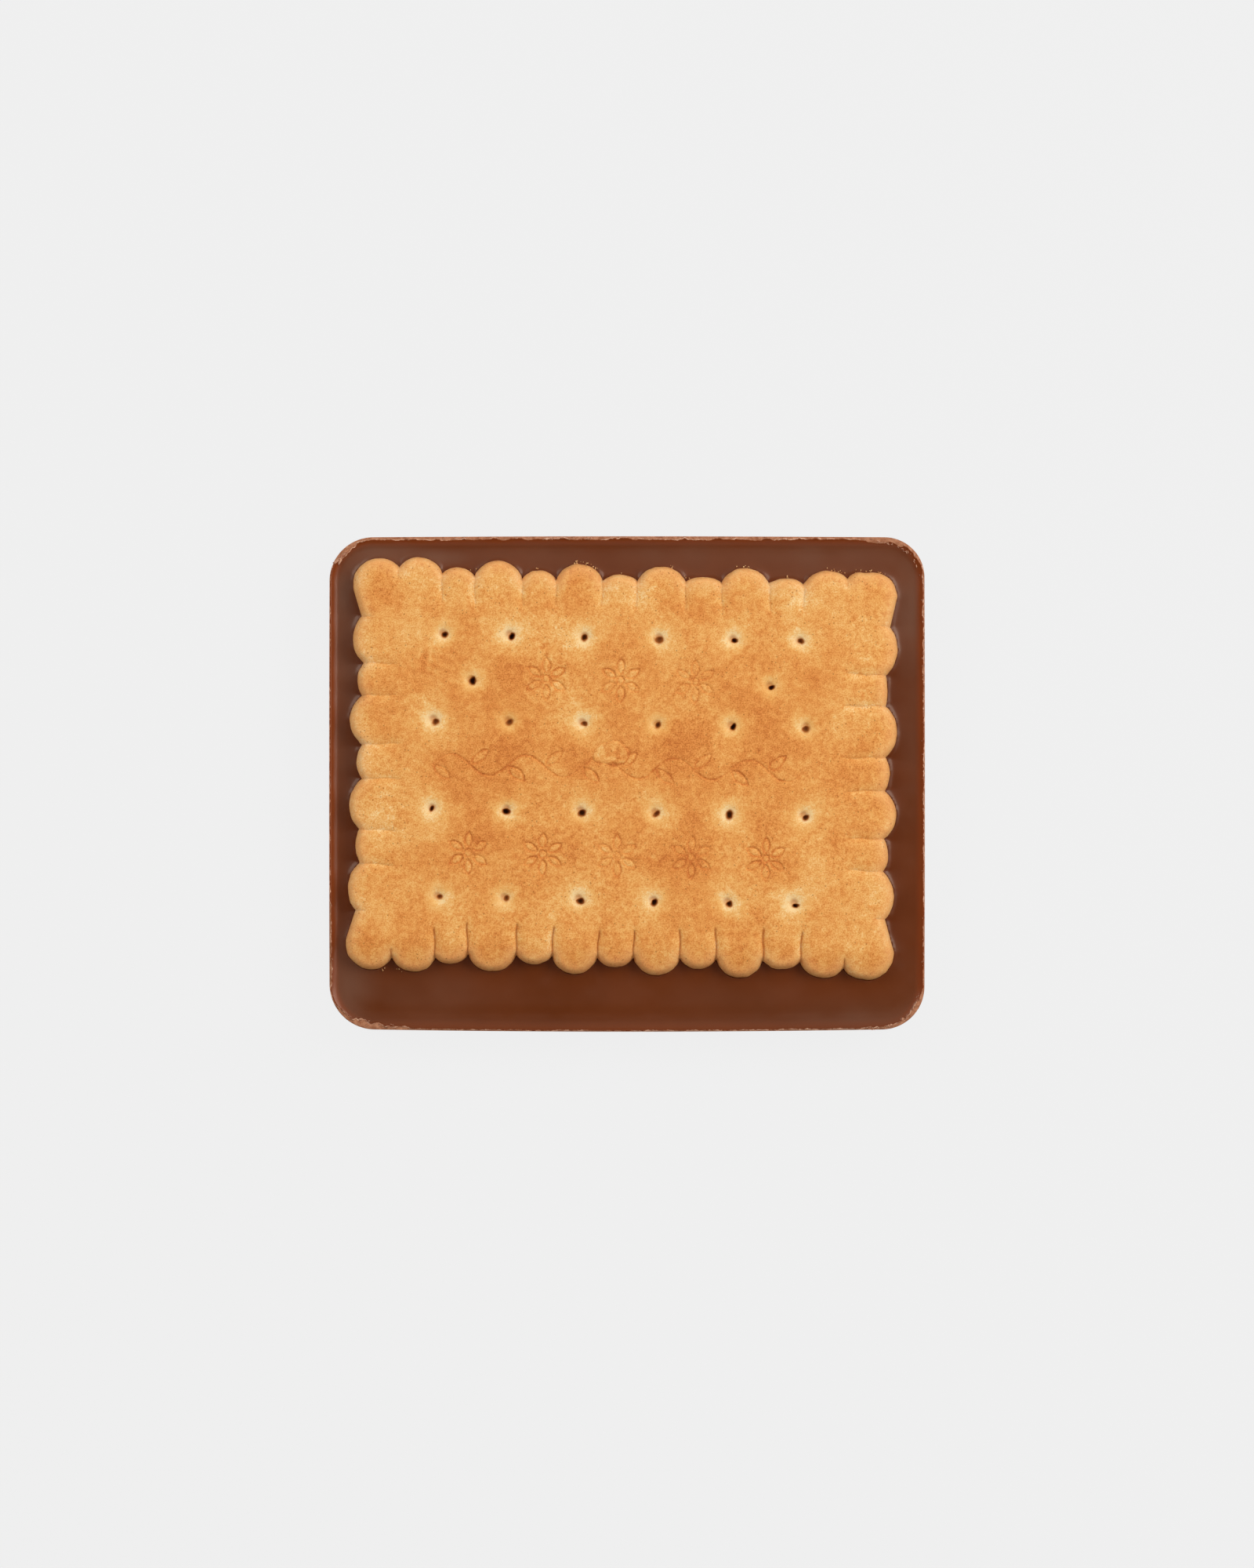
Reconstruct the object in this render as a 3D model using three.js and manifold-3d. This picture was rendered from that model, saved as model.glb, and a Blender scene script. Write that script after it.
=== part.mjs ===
// A butter biscuit with a scalloped rim, bedded in a moulded slab of milk chocolate.
// Millimetres. +X runs along the long side, +Y along the short side, +Z up, out of the biscuit's baked face.
// The origin is the middle of the slab's flat underside.
import * as THREE from "three";
import { mergeVertices } from "three/addons/utils/BufferGeometryUtils.js";
import Module from "manifold-3d";

const wasm = await Module();
wasm.setup();

// ---- The chocolate slab: cast open side up, so its walls lean outwards and its lip is its widest part ----
const SLAB_LENGTH = 65.2;
const SLAB_WIDTH = 54.2;
const RIM_HEIGHT = 4.6; // top of the thin lip that crept up the mould
const CHOCOLATE_LEVEL = 4.2; // the set surface inside the lip
const SIDE_STEPS = 4;
const CORNER_STEPS = 8;
// Anticlockwise from the +X side: how far each side swells between its corners, and the radius of the corner
// that follows it.
const SLAB_SIDES = [
  { swell: 0.04, corner: 4.4 },
  { swell: 0.1, corner: 4.8 },
  { swell: 0.04, corner: 5.0 },
  { swell: 0.24, corner: 4.7 },
];
// The slab's section from its underside, up the drafted wall and over the lip, as [inset, height].
const SLAB_SECTION = [
  [1.9, 0],
  [1.35, 0.12],
  [0.98, 0.42],
  [0.82, 0.9],
  [0.05, RIM_HEIGHT - 0.5],
  [0, RIM_HEIGHT - 0.25],
  [0.06, RIM_HEIGHT - 0.06],
  [0.2, RIM_HEIGHT],
  [0.38, RIM_HEIGHT - 0.06],
  [0.7, CHOCOLATE_LEVEL + 0.14],
  [1.2, CHOCOLATE_LEVEL + 0.03],
  [1.8, CHOCOLATE_LEVEL],
];

// ---- The biscuit, in its own frame: its middle, on its flat underside ----
const BISCUIT_MIDDLE = { x: -0.39, y: 1.61 };
const BISCUIT_TURN_DEG = -1.2; // it was laid slightly askew
const BISCUIT_THICKNESS = 4.9;
const BISCUIT_BASE = 1.6; // height of its underside in the slab
const BED_GAP = 0.3; // clearance to the chocolate, beside and below
const PATTERN_SHIFT = -0.5; // the scallops and pricks sit left of the biscuit's middle

// Scallops from the middle of a side to its corner lobe, small and big in turn. The first width is half of
// the middle scallop's. bulge is how far a scallop stands out from the line between its notches.
const LONG_SIDE = {
  notchLine: 20.65,
  notchRise: 0.75,
  crease: 4.2,
  lobes: [
    { width: 1.9, bulge: 0.82 },
    { width: 5.2, bulge: 1.7 },
    { width: 3.8, bulge: 0.82 },
    { width: 5.2, bulge: 1.7 },
    { width: 3.8, bulge: 0.75 },
    { width: 4.9, bulge: 1.45 },
  ],
};
const SHORT_SIDE = {
  notchLine: 28.65,
  notchRise: 0.35,
  crease: 3.6,
  lobes: [
    { width: 1.83, bulge: 0.55 },
    { width: 5.4, bulge: 1.25 },
    { width: 3.65, bulge: 0.5 },
    { width: 5.2, bulge: 1.1 },
  ],
};
const CORNER_LOBE = { x: 27.1, y: 19.65, radius: 2.9 };
const CORNER_CREASE = 1.7;
const NOTCH_RISE_POWER = 6; // the notches' line bends outwards by notchRise near the corners
const UNEVEN_BULGE = 0.08;
const UNEVEN_NOTCH = 0.1;
const LOBE_STEP = 0.95; // length of an edge along a scallop
const CORNER_LOBE_STEPS = 9;
const NOTCH_SHARE = 0.75; // how far a notch moves in for each millimetre that the scallops do

// The biscuit's edge from its underside to its top, as [inset, height].
const BISCUIT_SECTION = [
  [0.75, 0],
  [0.25, 0.4],
  [0, 1.3],
  [0, 2.9],
  [0.14, 3.7],
  [0.45, 4.35],
  [0.85, 4.72],
  [1.4, BISCUIT_THICKNESS],
];

// Pressed creases run in from the notches: half of the section, as [across, depth].
const CREASE_SECTION = [
  [1.15, 0],
  [0.22, 0.2],
  [0, 0.7],
];
const CREASE_OVERRUN = 1.6; // beyond the notch, so that the crease opens through the edge

// Docker pricks: a wide shallow crater round a narrow hole. Half section as [radius, depth].
const PRICK_SECTION = [
  [2.0, 0],
  [1.15, 0.18],
  [0.6, 0.6],
  [0.42, 1.1],
  [0.34, 3.8],
];
const PRICK_SIDES = 9;
const PRICK_PITCH_X = 8.12;
const PRICK_COLUMNS = 6;
const PRICK_ROWS = [14.4, 5.0, -4.65, -14.25];
const END_PRICK_PULL = 0.85; // the end pricks of the outer rows sit further in
const EXTRA_PRICKS = { x: 16.3, y: 9.4 };

// Pressed ornament: a vine between the two middle rows of pricks, and blossoms between the other rows.
const VINE = { y: 0.17, waves: 5, swing: 1.15, width: 0.5, depth: 0.25 };
const VINE_STEPS_PER_WAVE = 8;
const LEAF = { length: 2.3, width: 0.9, depth: 0.3, lean: 0.7, gap: 0.25 };
const BLOSSOM = { petals: 6, start: 0.7, length: 1.6, width: 0.75, depth: 0.3 };
const BLOSSOM_HEART = { length: 0.9, width: 0.9, depth: 0.3 };
const BLOSSOM_ROWS = [
  { y: 9.7, count: 3 },
  { y: -9.45, count: 5 },
];

const CUTTER_HEADROOM = 1; // cutters stand this far above the face that they cut

// -------------------------------------------------------------------------------------------------
// Solids and meshes

function solidFrom(geometry) {
  const bare = geometry.clone();
  bare.deleteAttribute("normal");
  bare.deleteAttribute("uv");
  const merged = mergeVertices(bare, 1e-4);
  return new wasm.Manifold(
    new wasm.Mesh({
      numProp: 3,
      vertProperties: merged.attributes.position.array,
      triVerts: new Uint32Array(merged.index.array),
    }),
  );
}

function geometryFrom(solid) {
  const { vertProperties, triVerts } = solid.getMesh();
  const geometry = new THREE.BufferGeometry();
  geometry.setAttribute("position", new THREE.BufferAttribute(vertProperties, 3));
  geometry.setIndex(new THREE.BufferAttribute(triVerts, 1));
  return geometry;
}

// A closed body through rings of equal length, lowest first, each running anticlockwise seen from above.
function lofted(rings) {
  const count = rings[0].points.length;
  const positions = rings.flatMap((ring) => ring.points.flatMap((p) => [p.x, p.y, ring.z]));
  const index = [];
  for (let r = 0; r + 1 < rings.length; r++) {
    for (let i = 0; i < count; i++) {
      const a = r * count + i;
      const b = r * count + ((i + 1) % count);
      index.push(a, b, b + count, a, b + count, a + count);
    }
  }
  const last = (rings.length - 1) * count;
  for (const [a, b, c] of THREE.ShapeUtils.triangulateShape(rings[0].points, [])) index.push(c, b, a);
  for (const [a, b, c] of THREE.ShapeUtils.triangulateShape(rings.at(-1).points, []))
    index.push(last + a, last + b, last + c);
  const geometry = new THREE.BufferGeometry();
  geometry.setAttribute("position", new THREE.Float32BufferAttribute(positions, 3));
  geometry.setIndex(index);
  return geometry;
}

const ringsAlong = (section, outline) =>
  section.map(([inset, z]) => ({ z, points: outline(inset) }));

const unitVector = (turn) => new THREE.Vector2(Math.cos(turn), Math.sin(turn));

// -------------------------------------------------------------------------------------------------
// The slab's outline

function slabOutline(inset) {
  const corners = SLAB_SIDES.map(({ swell, corner }, n) => {
    const next = SLAB_SIDES[(n + 1) % SLAB_SIDES.length];
    const [swellX, swellY] = n % 2 === 0 ? [swell, next.swell] : [next.swell, swell];
    const start = (n * Math.PI) / 2;
    const diagonal = start + Math.PI / 4;
    const centre = new THREE.Vector2(
      Math.sign(Math.cos(diagonal)) * (SLAB_LENGTH / 2 - swellX - corner),
      Math.sign(Math.sin(diagonal)) * (SLAB_WIDTH / 2 - swellY - corner),
    );
    const arc = [];
    for (let i = 0; i <= CORNER_STEPS; i++) {
      const turn = start + ((i / CORNER_STEPS) * Math.PI) / 2;
      arc.push(unitVector(turn).multiplyScalar(corner - inset).add(centre));
    }
    return arc;
  });
  return corners.flatMap((arc, n) => {
    const next = (n + 1) % corners.length;
    const outward = unitVector((next * Math.PI) / 2);
    const side = [];
    for (let i = 1; i < SIDE_STEPS; i++) {
      const t = i / SIDE_STEPS;
      const swell = SLAB_SIDES[next].swell * 4 * t * (1 - t);
      side.push(arc.at(-1).clone().lerp(corners[next][0], t).addScaledVector(outward, swell));
    }
    return [...arc, ...side];
  });
}

// -------------------------------------------------------------------------------------------------
// The biscuit's scallops

// A repeatable small unevenness between -1 and 1.
const uneven = (n, kind) => Math.sin(n * 5.3 + kind * 2.1);

// One side's notches from one end to the other, as {along, out}, and the bulges of the scallops between them.
function sideScallops({ notchLine, notchRise, lobes }) {
  const half = [];
  let along = 0;
  for (const lobe of lobes) {
    along += lobe.width;
    half.push(along);
  }
  const end = half.at(-1);
  const notches = [...half.map((a) => -a).reverse(), ...half].map((a) => ({
    along: a,
    out: notchLine + notchRise * (Math.abs(a) / end) ** NOTCH_RISE_POWER,
  }));
  const outer = lobes.slice(1).map((lobe) => lobe.bulge);
  return { notches, bulges: [...outer.toReversed(), lobes[0].bulge, ...outer] };
}

// All notches anticlockwise from the lower end of the +X side. inward points into the biscuit along the
// crease, and bulge is that of the scallop that follows, or null before a corner lobe.
function allNotches() {
  const long = sideScallops(LONG_SIDE);
  const short = sideScallops(SHORT_SIDE);
  const sides = [
    { side: short, crease: SHORT_SIDE.crease, shift: 0, out: new THREE.Vector2(1, 0) },
    { side: long, crease: LONG_SIDE.crease, shift: PATTERN_SHIFT, out: new THREE.Vector2(0, 1) },
    { side: short, crease: SHORT_SIDE.crease, shift: 0, out: new THREE.Vector2(-1, 0) },
    { side: long, crease: LONG_SIDE.crease, shift: PATTERN_SHIFT, out: new THREE.Vector2(0, -1) },
  ];
  const notches = [];
  for (const { side, crease, shift, out } of sides) {
    const alongAxis = new THREE.Vector2(-out.y, out.x); // anticlockwise
    side.notches.forEach(({ along, out: distance }, i) => {
      const n = notches.length;
      const isEnd = i === 0 || i === side.notches.length - 1;
      const at = new THREE.Vector2()
        .addScaledVector(alongAxis, along + UNEVEN_NOTCH * uneven(n, 1))
        .addScaledVector(out, distance);
      at.x += shift;
      notches.push({
        at,
        inward: out.clone().negate(),
        crease: isEnd ? CORNER_CREASE : crease,
        bulge: i < side.bulges.length ? side.bulges[i] + UNEVEN_BULGE * uneven(n, 2) : null,
      });
    });
  }
  return notches;
}

// The scallop between two notches, without its ends: an arc of a circle, as points with outward normals.
function scallop(from, to, bulge) {
  const chord = to.clone().sub(from);
  const half = chord.length() / 2;
  const outward = new THREE.Vector2(chord.y, -chord.x).normalize();
  const radius = (half * half + bulge * bulge) / (2 * bulge);
  const centre = from.clone().lerp(to, 0.5).addScaledVector(outward, bulge - radius);
  const spread = Math.atan2(half, radius - bulge);
  const steps = Math.round((2 * radius * spread) / LOBE_STEP);
  const points = [];
  for (let s = 1; s < steps; s++) {
    const normal = unitVector(outward.angle() + (2 * (s / steps) - 1) * spread);
    points.push({ at: centre.clone().addScaledVector(normal, radius), normal });
  }
  return points;
}

// The lobe at a corner is round towards the long side and runs straight to its notch on the short side.
function cornerLobe(from, to) {
  const middle = from.clone().add(to);
  const centre = new THREE.Vector2(Math.sign(middle.x) * CORNER_LOBE.x, Math.sign(middle.y) * CORNER_LOBE.y);
  const { radius } = CORNER_LOBE;
  const startsOnShortSide = Math.abs(from.x) > Math.abs(to.x);
  const [shortNotch, longNotch] = startsOnShortSide ? [from, to] : [to, from];
  const toShort = shortNotch.clone().sub(centre);
  const way = startsOnShortSide ? 1 : -1; // anticlockwise from the short side's notch, or clockwise
  const touch = toShort.angle() + way * Math.acos(radius / toShort.length());
  const toLong = way * (longNotch.clone().sub(centre).angle() - touch);
  const sweep = THREE.MathUtils.euclideanModulo(toLong, 2 * Math.PI);
  const points = [];
  for (let s = 0; s < CORNER_LOBE_STEPS; s++) {
    const normal = unitVector(touch + (way * sweep * s) / CORNER_LOBE_STEPS);
    points.push({ at: centre.clone().addScaledVector(normal, radius), normal });
  }
  const straight = { at: points[0].at.clone().lerp(shortNotch, 0.5), normal: points[0].normal };
  points.unshift(straight);
  return startsOnShortSide ? points : points.reverse();
}

// The outline moved inwards by inset. Every inset gives the same number of points, in the same order.
function biscuitOutline(inset) {
  const notches = allNotches();
  return notches.flatMap((notch, i) => {
    const { at: next } = notches[(i + 1) % notches.length];
    const lobe = notch.bulge === null ? cornerLobe(notch.at, next) : scallop(notch.at, next, notch.bulge);
    return [
      notch.at.clone().addScaledVector(notch.inward, inset * NOTCH_SHARE),
      ...lobe.map(({ at, normal }) => at.clone().addScaledVector(normal, -inset)),
    ];
  });
}

// -------------------------------------------------------------------------------------------------
// Cutters

// A V that is deepest at the notch and runs out at the crease's inner end.
function creaseCutter({ at, inward, crease }) {
  const [edge] = CREASE_SECTION[0];
  const deepest = CREASE_SECTION.at(-1)[1];
  const nearSide = CREASE_SECTION.map(([across, depth]) => new THREE.Vector2(-across, -depth));
  const farSide = CREASE_SECTION.slice(0, -1).map(([across, depth]) => new THREE.Vector2(across, -depth));
  const lid = [new THREE.Vector2(edge, CUTTER_HEADROOM), new THREE.Vector2(-edge, CUTTER_HEADROOM)];
  const shape = new THREE.Shape([...nearSide, ...farSide.reverse(), ...lid]);
  const run = crease + CREASE_OVERRUN;
  const geometry = new THREE.ExtrudeGeometry(shape, { depth: run, bevelEnabled: false });
  // Stood up so that it runs along the face, tipped so that it rises, then turned inwards.
  const rise = Math.atan2(deepest, run);
  const cutter = new THREE.Object3D();
  cutter.rotation.order = "ZXY";
  cutter.rotation.set(Math.PI / 2 - rise, 0, inward.angle() + Math.PI / 2);
  const outerEnd = at.clone().addScaledVector(inward, -CREASE_OVERRUN);
  cutter.position.set(outerEnd.x, outerEnd.y, BISCUIT_THICKNESS);
  cutter.updateMatrix();
  return solidFrom(geometry.applyMatrix4(cutter.matrix));
}

function prickPlaces() {
  const places = [];
  PRICK_ROWS.forEach((y, row) => {
    const isOuterRow = row === 0 || row === PRICK_ROWS.length - 1;
    for (let column = 0; column < PRICK_COLUMNS; column++) {
      const fromMiddle = column - (PRICK_COLUMNS - 1) / 2;
      const isEnd = column === 0 || column === PRICK_COLUMNS - 1;
      const pull = isOuterRow && isEnd ? Math.sign(fromMiddle) * END_PRICK_PULL : 0;
      places.push([fromMiddle * PRICK_PITCH_X - pull, y]);
    }
  });
  places.push([-EXTRA_PRICKS.x, EXTRA_PRICKS.y], [EXTRA_PRICKS.x, EXTRA_PRICKS.y]);
  return places.map(([x, y]) => new THREE.Vector2(x + PATTERN_SHIFT, y));
}

function prickCutter(place) {
  const [rim] = PRICK_SECTION[0];
  const deepest = PRICK_SECTION.at(-1)[1];
  const profile = [
    [0, -deepest],
    ...PRICK_SECTION.map(([radius, depth]) => [radius, -depth]).reverse(),
    [rim, CUTTER_HEADROOM],
    [0, CUTTER_HEADROOM],
  ].map(([x, y]) => new THREE.Vector2(x, y));
  const geometry = new THREE.LatheGeometry(profile, PRICK_SIDES);
  geometry.rotateX(Math.PI / 2).translate(place.x, place.y, BISCUIT_THICKNESS);
  return solidFrom(geometry);
}

// A pressed leaf or petal: a boat-shaped dent, starting at place and running along turn.
function dentCutter(place, turn, { length, width, depth }) {
  const geometry = new THREE.OctahedronGeometry(1);
  const middle = unitVector(turn)
    .multiplyScalar(length / 2)
    .add(place);
  geometry.scale(length / 2, width / 2, depth).rotateZ(turn).translate(middle.x, middle.y, BISCUIT_THICKNESS);
  return solidFrom(geometry);
}

// The vine's middle line: a level sine wave, from end to end.
class VineLine extends THREE.Curve {
  getPoint(t, target = new THREE.Vector3()) {
    const x = (t - 0.5) * VINE.waves * PRICK_PITCH_X + PATTERN_SHIFT;
    const y = VINE.y + VINE.swing * Math.sin(2 * Math.PI * VINE.waves * t);
    return target.set(x, y, BISCUIT_THICKNESS);
  }
}

// The stem is a V: in the section, +X points down into the biscuit.
function stemCutter() {
  const section = new THREE.Shape([
    new THREE.Vector2(VINE.depth, 0),
    new THREE.Vector2(-VINE.depth, VINE.width),
    new THREE.Vector2(-VINE.depth, -VINE.width),
  ]);
  const steps = VINE.waves * VINE_STEPS_PER_WAVE;
  return solidFrom(new THREE.ExtrudeGeometry(section, { extrudePath: new VineLine(), steps }));
}

// A leaf leaves the stem at each point where it crosses its own middle, to the side that it turns away from.
function leafCutters() {
  const cutters = [];
  const crossings = 2 * VINE.waves;
  for (let k = 0; k < crossings; k++) {
    const turn = k % 2 === 0 ? -LEAF.lean : LEAF.lean;
    const stem = new VineLine().getPoint(k / crossings);
    const place = unitVector(turn).multiplyScalar(LEAF.gap).add(stem);
    cutters.push(dentCutter(place, turn, LEAF));
  }
  return cutters;
}

function blossomCutters() {
  const cutters = [];
  for (const { y, count } of BLOSSOM_ROWS) {
    for (let k = 0; k < count; k++) {
      const middle = new THREE.Vector2((k - (count - 1) / 2) * PRICK_PITCH_X + PATTERN_SHIFT, y);
      const heartStart = middle.clone().setX(middle.x - BLOSSOM_HEART.length / 2);
      cutters.push(dentCutter(heartStart, 0, BLOSSOM_HEART));
      for (let petal = 0; petal < BLOSSOM.petals; petal++) {
        const turn = Math.PI / 2 + (petal * 2 * Math.PI) / BLOSSOM.petals;
        const place = unitVector(turn).multiplyScalar(BLOSSOM.start).add(middle);
        cutters.push(dentCutter(place, turn, BLOSSOM));
      }
    }
  }
  return cutters;
}

// -------------------------------------------------------------------------------------------------
// The two pieces

function biscuitSolid() {
  const blank = solidFrom(lofted(ringsAlong(BISCUIT_SECTION, biscuitOutline)));
  const cutters = [
    ...allNotches().map(creaseCutter),
    ...prickPlaces().map(prickCutter),
    ...leafCutters(),
    ...blossomCutters(),
    stemCutter(),
  ];
  return cutters.reduce((solid, cutter) => solid.subtract(cutter), blank);
}

// Where the biscuit lies in the slab.
function placeAsBiscuit(object) {
  object.position.set(BISCUIT_MIDDLE.x, BISCUIT_MIDDLE.y, BISCUIT_BASE);
  object.rotation.z = THREE.MathUtils.degToRad(BISCUIT_TURN_DEG);
  object.updateMatrix();
  return object;
}

function slabSolid() {
  const tablet = solidFrom(lofted(ringsAlong(SLAB_SECTION, slabOutline)));
  const bed = new THREE.ExtrudeGeometry(new THREE.Shape(biscuitOutline(-BED_GAP)), {
    depth: RIM_HEIGHT,
    bevelEnabled: false,
  });
  bed.translate(0, 0, -BED_GAP).applyMatrix4(placeAsBiscuit(new THREE.Object3D()).matrix);
  return tablet.subtract(solidFrom(bed));
}

function named(name, solid, color, roughness) {
  const material = new THREE.MeshStandardMaterial({ color, roughness, metalness: 0 });
  const mesh = new THREE.Mesh(geometryFrom(solid), material);
  mesh.name = name;
  return mesh;
}

const chocolate = named("chocolate_slab", slabSolid(), 0x66371f, 0.35);
const biscuit = placeAsBiscuit(named("biscuit", biscuitSolid(), 0xe09a51, 0.85));

const part = new THREE.Group();
part.add(chocolate, biscuit);
export default part;
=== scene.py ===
"""A butter biscuit with a scalloped rim, bedded in a moulded slab of milk chocolate.

Lengths are in millimetres until a mesh is made, which turns them into metres. The slab's shapes are
worked out in the model's frame, and the biscuit's in its own: at its middle, on its flat underside.
"""

import math

import bmesh
import bpy
import numpy as np
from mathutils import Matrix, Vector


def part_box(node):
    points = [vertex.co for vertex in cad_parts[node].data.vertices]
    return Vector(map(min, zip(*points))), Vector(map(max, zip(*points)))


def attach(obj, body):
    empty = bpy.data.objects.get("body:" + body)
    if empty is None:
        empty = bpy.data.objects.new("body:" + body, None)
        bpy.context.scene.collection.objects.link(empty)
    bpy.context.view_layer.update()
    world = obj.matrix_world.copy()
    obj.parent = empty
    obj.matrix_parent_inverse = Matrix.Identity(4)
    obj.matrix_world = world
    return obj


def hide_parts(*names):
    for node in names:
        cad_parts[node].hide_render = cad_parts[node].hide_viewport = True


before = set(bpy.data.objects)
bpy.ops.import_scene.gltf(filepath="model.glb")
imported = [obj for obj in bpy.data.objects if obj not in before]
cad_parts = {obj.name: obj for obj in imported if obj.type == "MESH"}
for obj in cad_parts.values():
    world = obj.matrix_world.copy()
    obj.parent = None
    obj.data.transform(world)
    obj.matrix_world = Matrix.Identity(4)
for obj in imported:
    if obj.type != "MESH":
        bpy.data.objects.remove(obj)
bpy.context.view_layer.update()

MM = 0.001  # metres


def box_mm(node):
    """A node's lowest and highest corners in millimetres."""
    low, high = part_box(node)
    return np.array(low) / MM, np.array(high) / MM


SLAB_LOW, SLAB_HIGH = box_mm("chocolate_slab")
BISCUIT_LOW, BISCUIT_HIGH = box_mm("biscuit")

# ---- The slab ----
SLAB_LENGTH, SLAB_WIDTH, RIM_HEIGHT = SLAB_HIGH - SLAB_LOW
CHOCOLATE_LEVEL = RIM_HEIGHT - 0.53  # the set surface inside the lip
# Anticlockwise from the +X side: each side's swell between its corners, and the radius of the next corner.
SLAB_SIDES = [(0.04, 4.4), (0.1, 4.8), (0.04, 5.0), (0.24, 4.7)]
LIP_CREST = 0.2  # the lip's highest line lies this far inside the slab's outline
LIP_WIDTH = 1.1  # and it runs out into the set surface over this width
LIP_NET_INSET = 0.28  # the net of the chocolate ends here; rings carry on over the crest
# The outer wall below the lip, as (inset, height).
WALL = [(0.03, RIM_HEIGHT - 0.1), (0.0, RIM_HEIGHT - 0.25), (0.05, RIM_HEIGHT - 0.5), (0.25, 3.0),
        (0.55, 2.0), (0.82, 0.9), (0.98, 0.42), (1.35, 0.12), (1.9, 0.0)]

# ---- The biscuit ----
BISCUIT_MIDDLE = np.array([-0.39, 1.61])
BISCUIT_TURN = math.radians(-1.2)
BISCUIT_BASE = BISCUIT_LOW[2]
BISCUIT_THICKNESS = BISCUIT_HIGH[2] - BISCUIT_BASE
SHOULDER = 0.75  # the top's edge rounds off over this width
SHOULDER_FOOT = 2.9  # down to this height, where the sides are upright
SHOULDER_POWER = 2.2  # above 2, which would be an ellipse, the top stays flatter and the edge rounder
# The face curves down towards its sides: from where, over what width, and how far.
SAG = {"ends": (27.2, 2.6, 0.4), "upper": (19.8, 2.6, 0.3), "lower": (18.3, 3.6, 0.85)}
# Scallops from the middle of a side to its corner lobe, as (width, bulge). The first width is only
# half of its scallop's.
LONG_SIDE = {"notch_line": 20.65, "notch_rise": 0.75,
             "lobes": [(1.9, 0.82), (5.2, 1.7), (3.8, 0.82), (5.2, 1.7), (3.8, 0.75), (4.9, 1.45)]}
SHORT_SIDE = {"notch_line": 28.65, "notch_rise": 0.35,
              "lobes": [(1.83, 0.55), (5.4, 1.25), (3.65, 0.5), (5.2, 1.1)]}
# Each side's outward direction, scallops, how far they are shifted along it, and its creases: their
# length, how deep their soft shoulders are, how deep and wide the cut between them is, and its painted shade.
BISCUIT_SIDES = [
    {"out": (1, 0), "scallops": SHORT_SIDE, "shift": (0, 0.15), "crease": (4.4, 0.25, 0.08, 0.12, 0.14)},
    {"out": (0, 1), "scallops": LONG_SIDE, "shift": (-0.7, 0), "crease": (3.2, 0.24, 0.06, 0.12, 0.16)},
    {"out": (-1, 0), "scallops": SHORT_SIDE, "shift": (0, 0.15), "crease": (4.0, 0.24, 0.06, 0.12, 0.1)},
    {"out": (0, -1), "scallops": LONG_SIDE, "shift": (-0.4, 0), "crease": (3.4, 0.3, 0.2, 0.15, 0.3)},
]
# Notches away from their regular places, numbered anticlockwise from the lower end of the +X side:
# how far along their side and outward.
MOVED_NOTCHES = {5: (0.1, -0.1), 6: (-0.3, -0.15), 7: (-0.2, -0.15), 9: (0, -0.15), 17: (0, 0.14),
                 18: (-0.35, 0.22), 19: (-0.6, 0.22), 22: (0, 0.14), 25: (0, 0.14), 28: (0.33, -0.15),
                 29: (0.27, 0.29), 33: (-0.22, 0.1), 36: (0.17, 0), 38: (0.17, -0.1)}
# How much more than its kind the scallop after a notch bulges.
EXTRA_BULGE = {3: -0.15, 5: -0.3, 8: -0.4, 9: -0.26, 10: -0.14, 11: -0.24, 13: -0.14, 30: 0.15, 31: 0.17,
               32: 0.26, 33: 0.22, 34: 0.12, 35: 0.15, 36: 0.24, 37: 0.14}
CREASE_REACH = 1.3  # how far to each side the shoulders run out
CREASE_LEAN = 0.05  # the slope of the creases that lean most
CORNER_LOBE = {"middle": (27.1, 19.65), "radius": 2.9}
SMALL_CORNER_LOBE = {"middle": (26.95, 19.5), "radius": 2.6}  # the one at +X and +Y
CORNER_CREASE = 1.3  # the length of the creases beside the corner lobes
NOTCH_RISE_POWER = 6  # the notches lie further out with this power of their way from the side's middle
UNEVEN_BULGE = 0.08
UNEVEN_NOTCH = 0.1
OUTLINE_STEP = 0.2
ROUGH_EDGE = 0.07  # how ragged the outline is

PATTERN_SHIFT = -0.5  # pricks and ornament lie this far off the middle
PRICK_PITCH = 8.12
PRICK_COLUMNS = 6
PRICK_ROWS = [14.4, 5.0, -4.65, -14.25]
END_PRICK_PULL = 0.85  # the pricks at the corners are this much nearer the middle
EXTRA_PRICKS = (16.3, 9.4)  # one more on each side, between two rows
PRICK_CORE = (0.32, 0.45)  # the holes' longer radii, from the smallest to the largest
PRICK_SLIT = (0.6, 0.95)  # their shorter radii, as parts of the longer ones
PRICK_DEPTH = (0.4, 1.1)
PRICK_FUNNEL = (0.16, 0.55)  # the depth and radius of the funnel round a hole,
PRICK_CRATER = (0.2, 1.2)  # of the crater round that,
PRICK_DIP = (0.1, 1.9)  # and of the dip in the face round that

VINE = {"y": 0.17, "waves": 5, "swing": 1.15}
LEAF = {"length": 2.3, "width": 0.95, "lean": 0.7, "gap": 0.2}
PETAL = {"count": 6, "start": 0.65, "length": 1.65, "width": 0.8}
HEART_RADIUS = 0.4
BLOSSOM_ROWS = [(9.7, 3), (-9.45, 5)]
LINE_CUT = {"width": 0.16, "depth": 0.11}
PRESSED_DEPTH = 0.05  # how far leaves and petals lie below the face
LINE_DIP = (0.03, 0.45)  # the depth and width of the dip on both sides of a line

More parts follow.
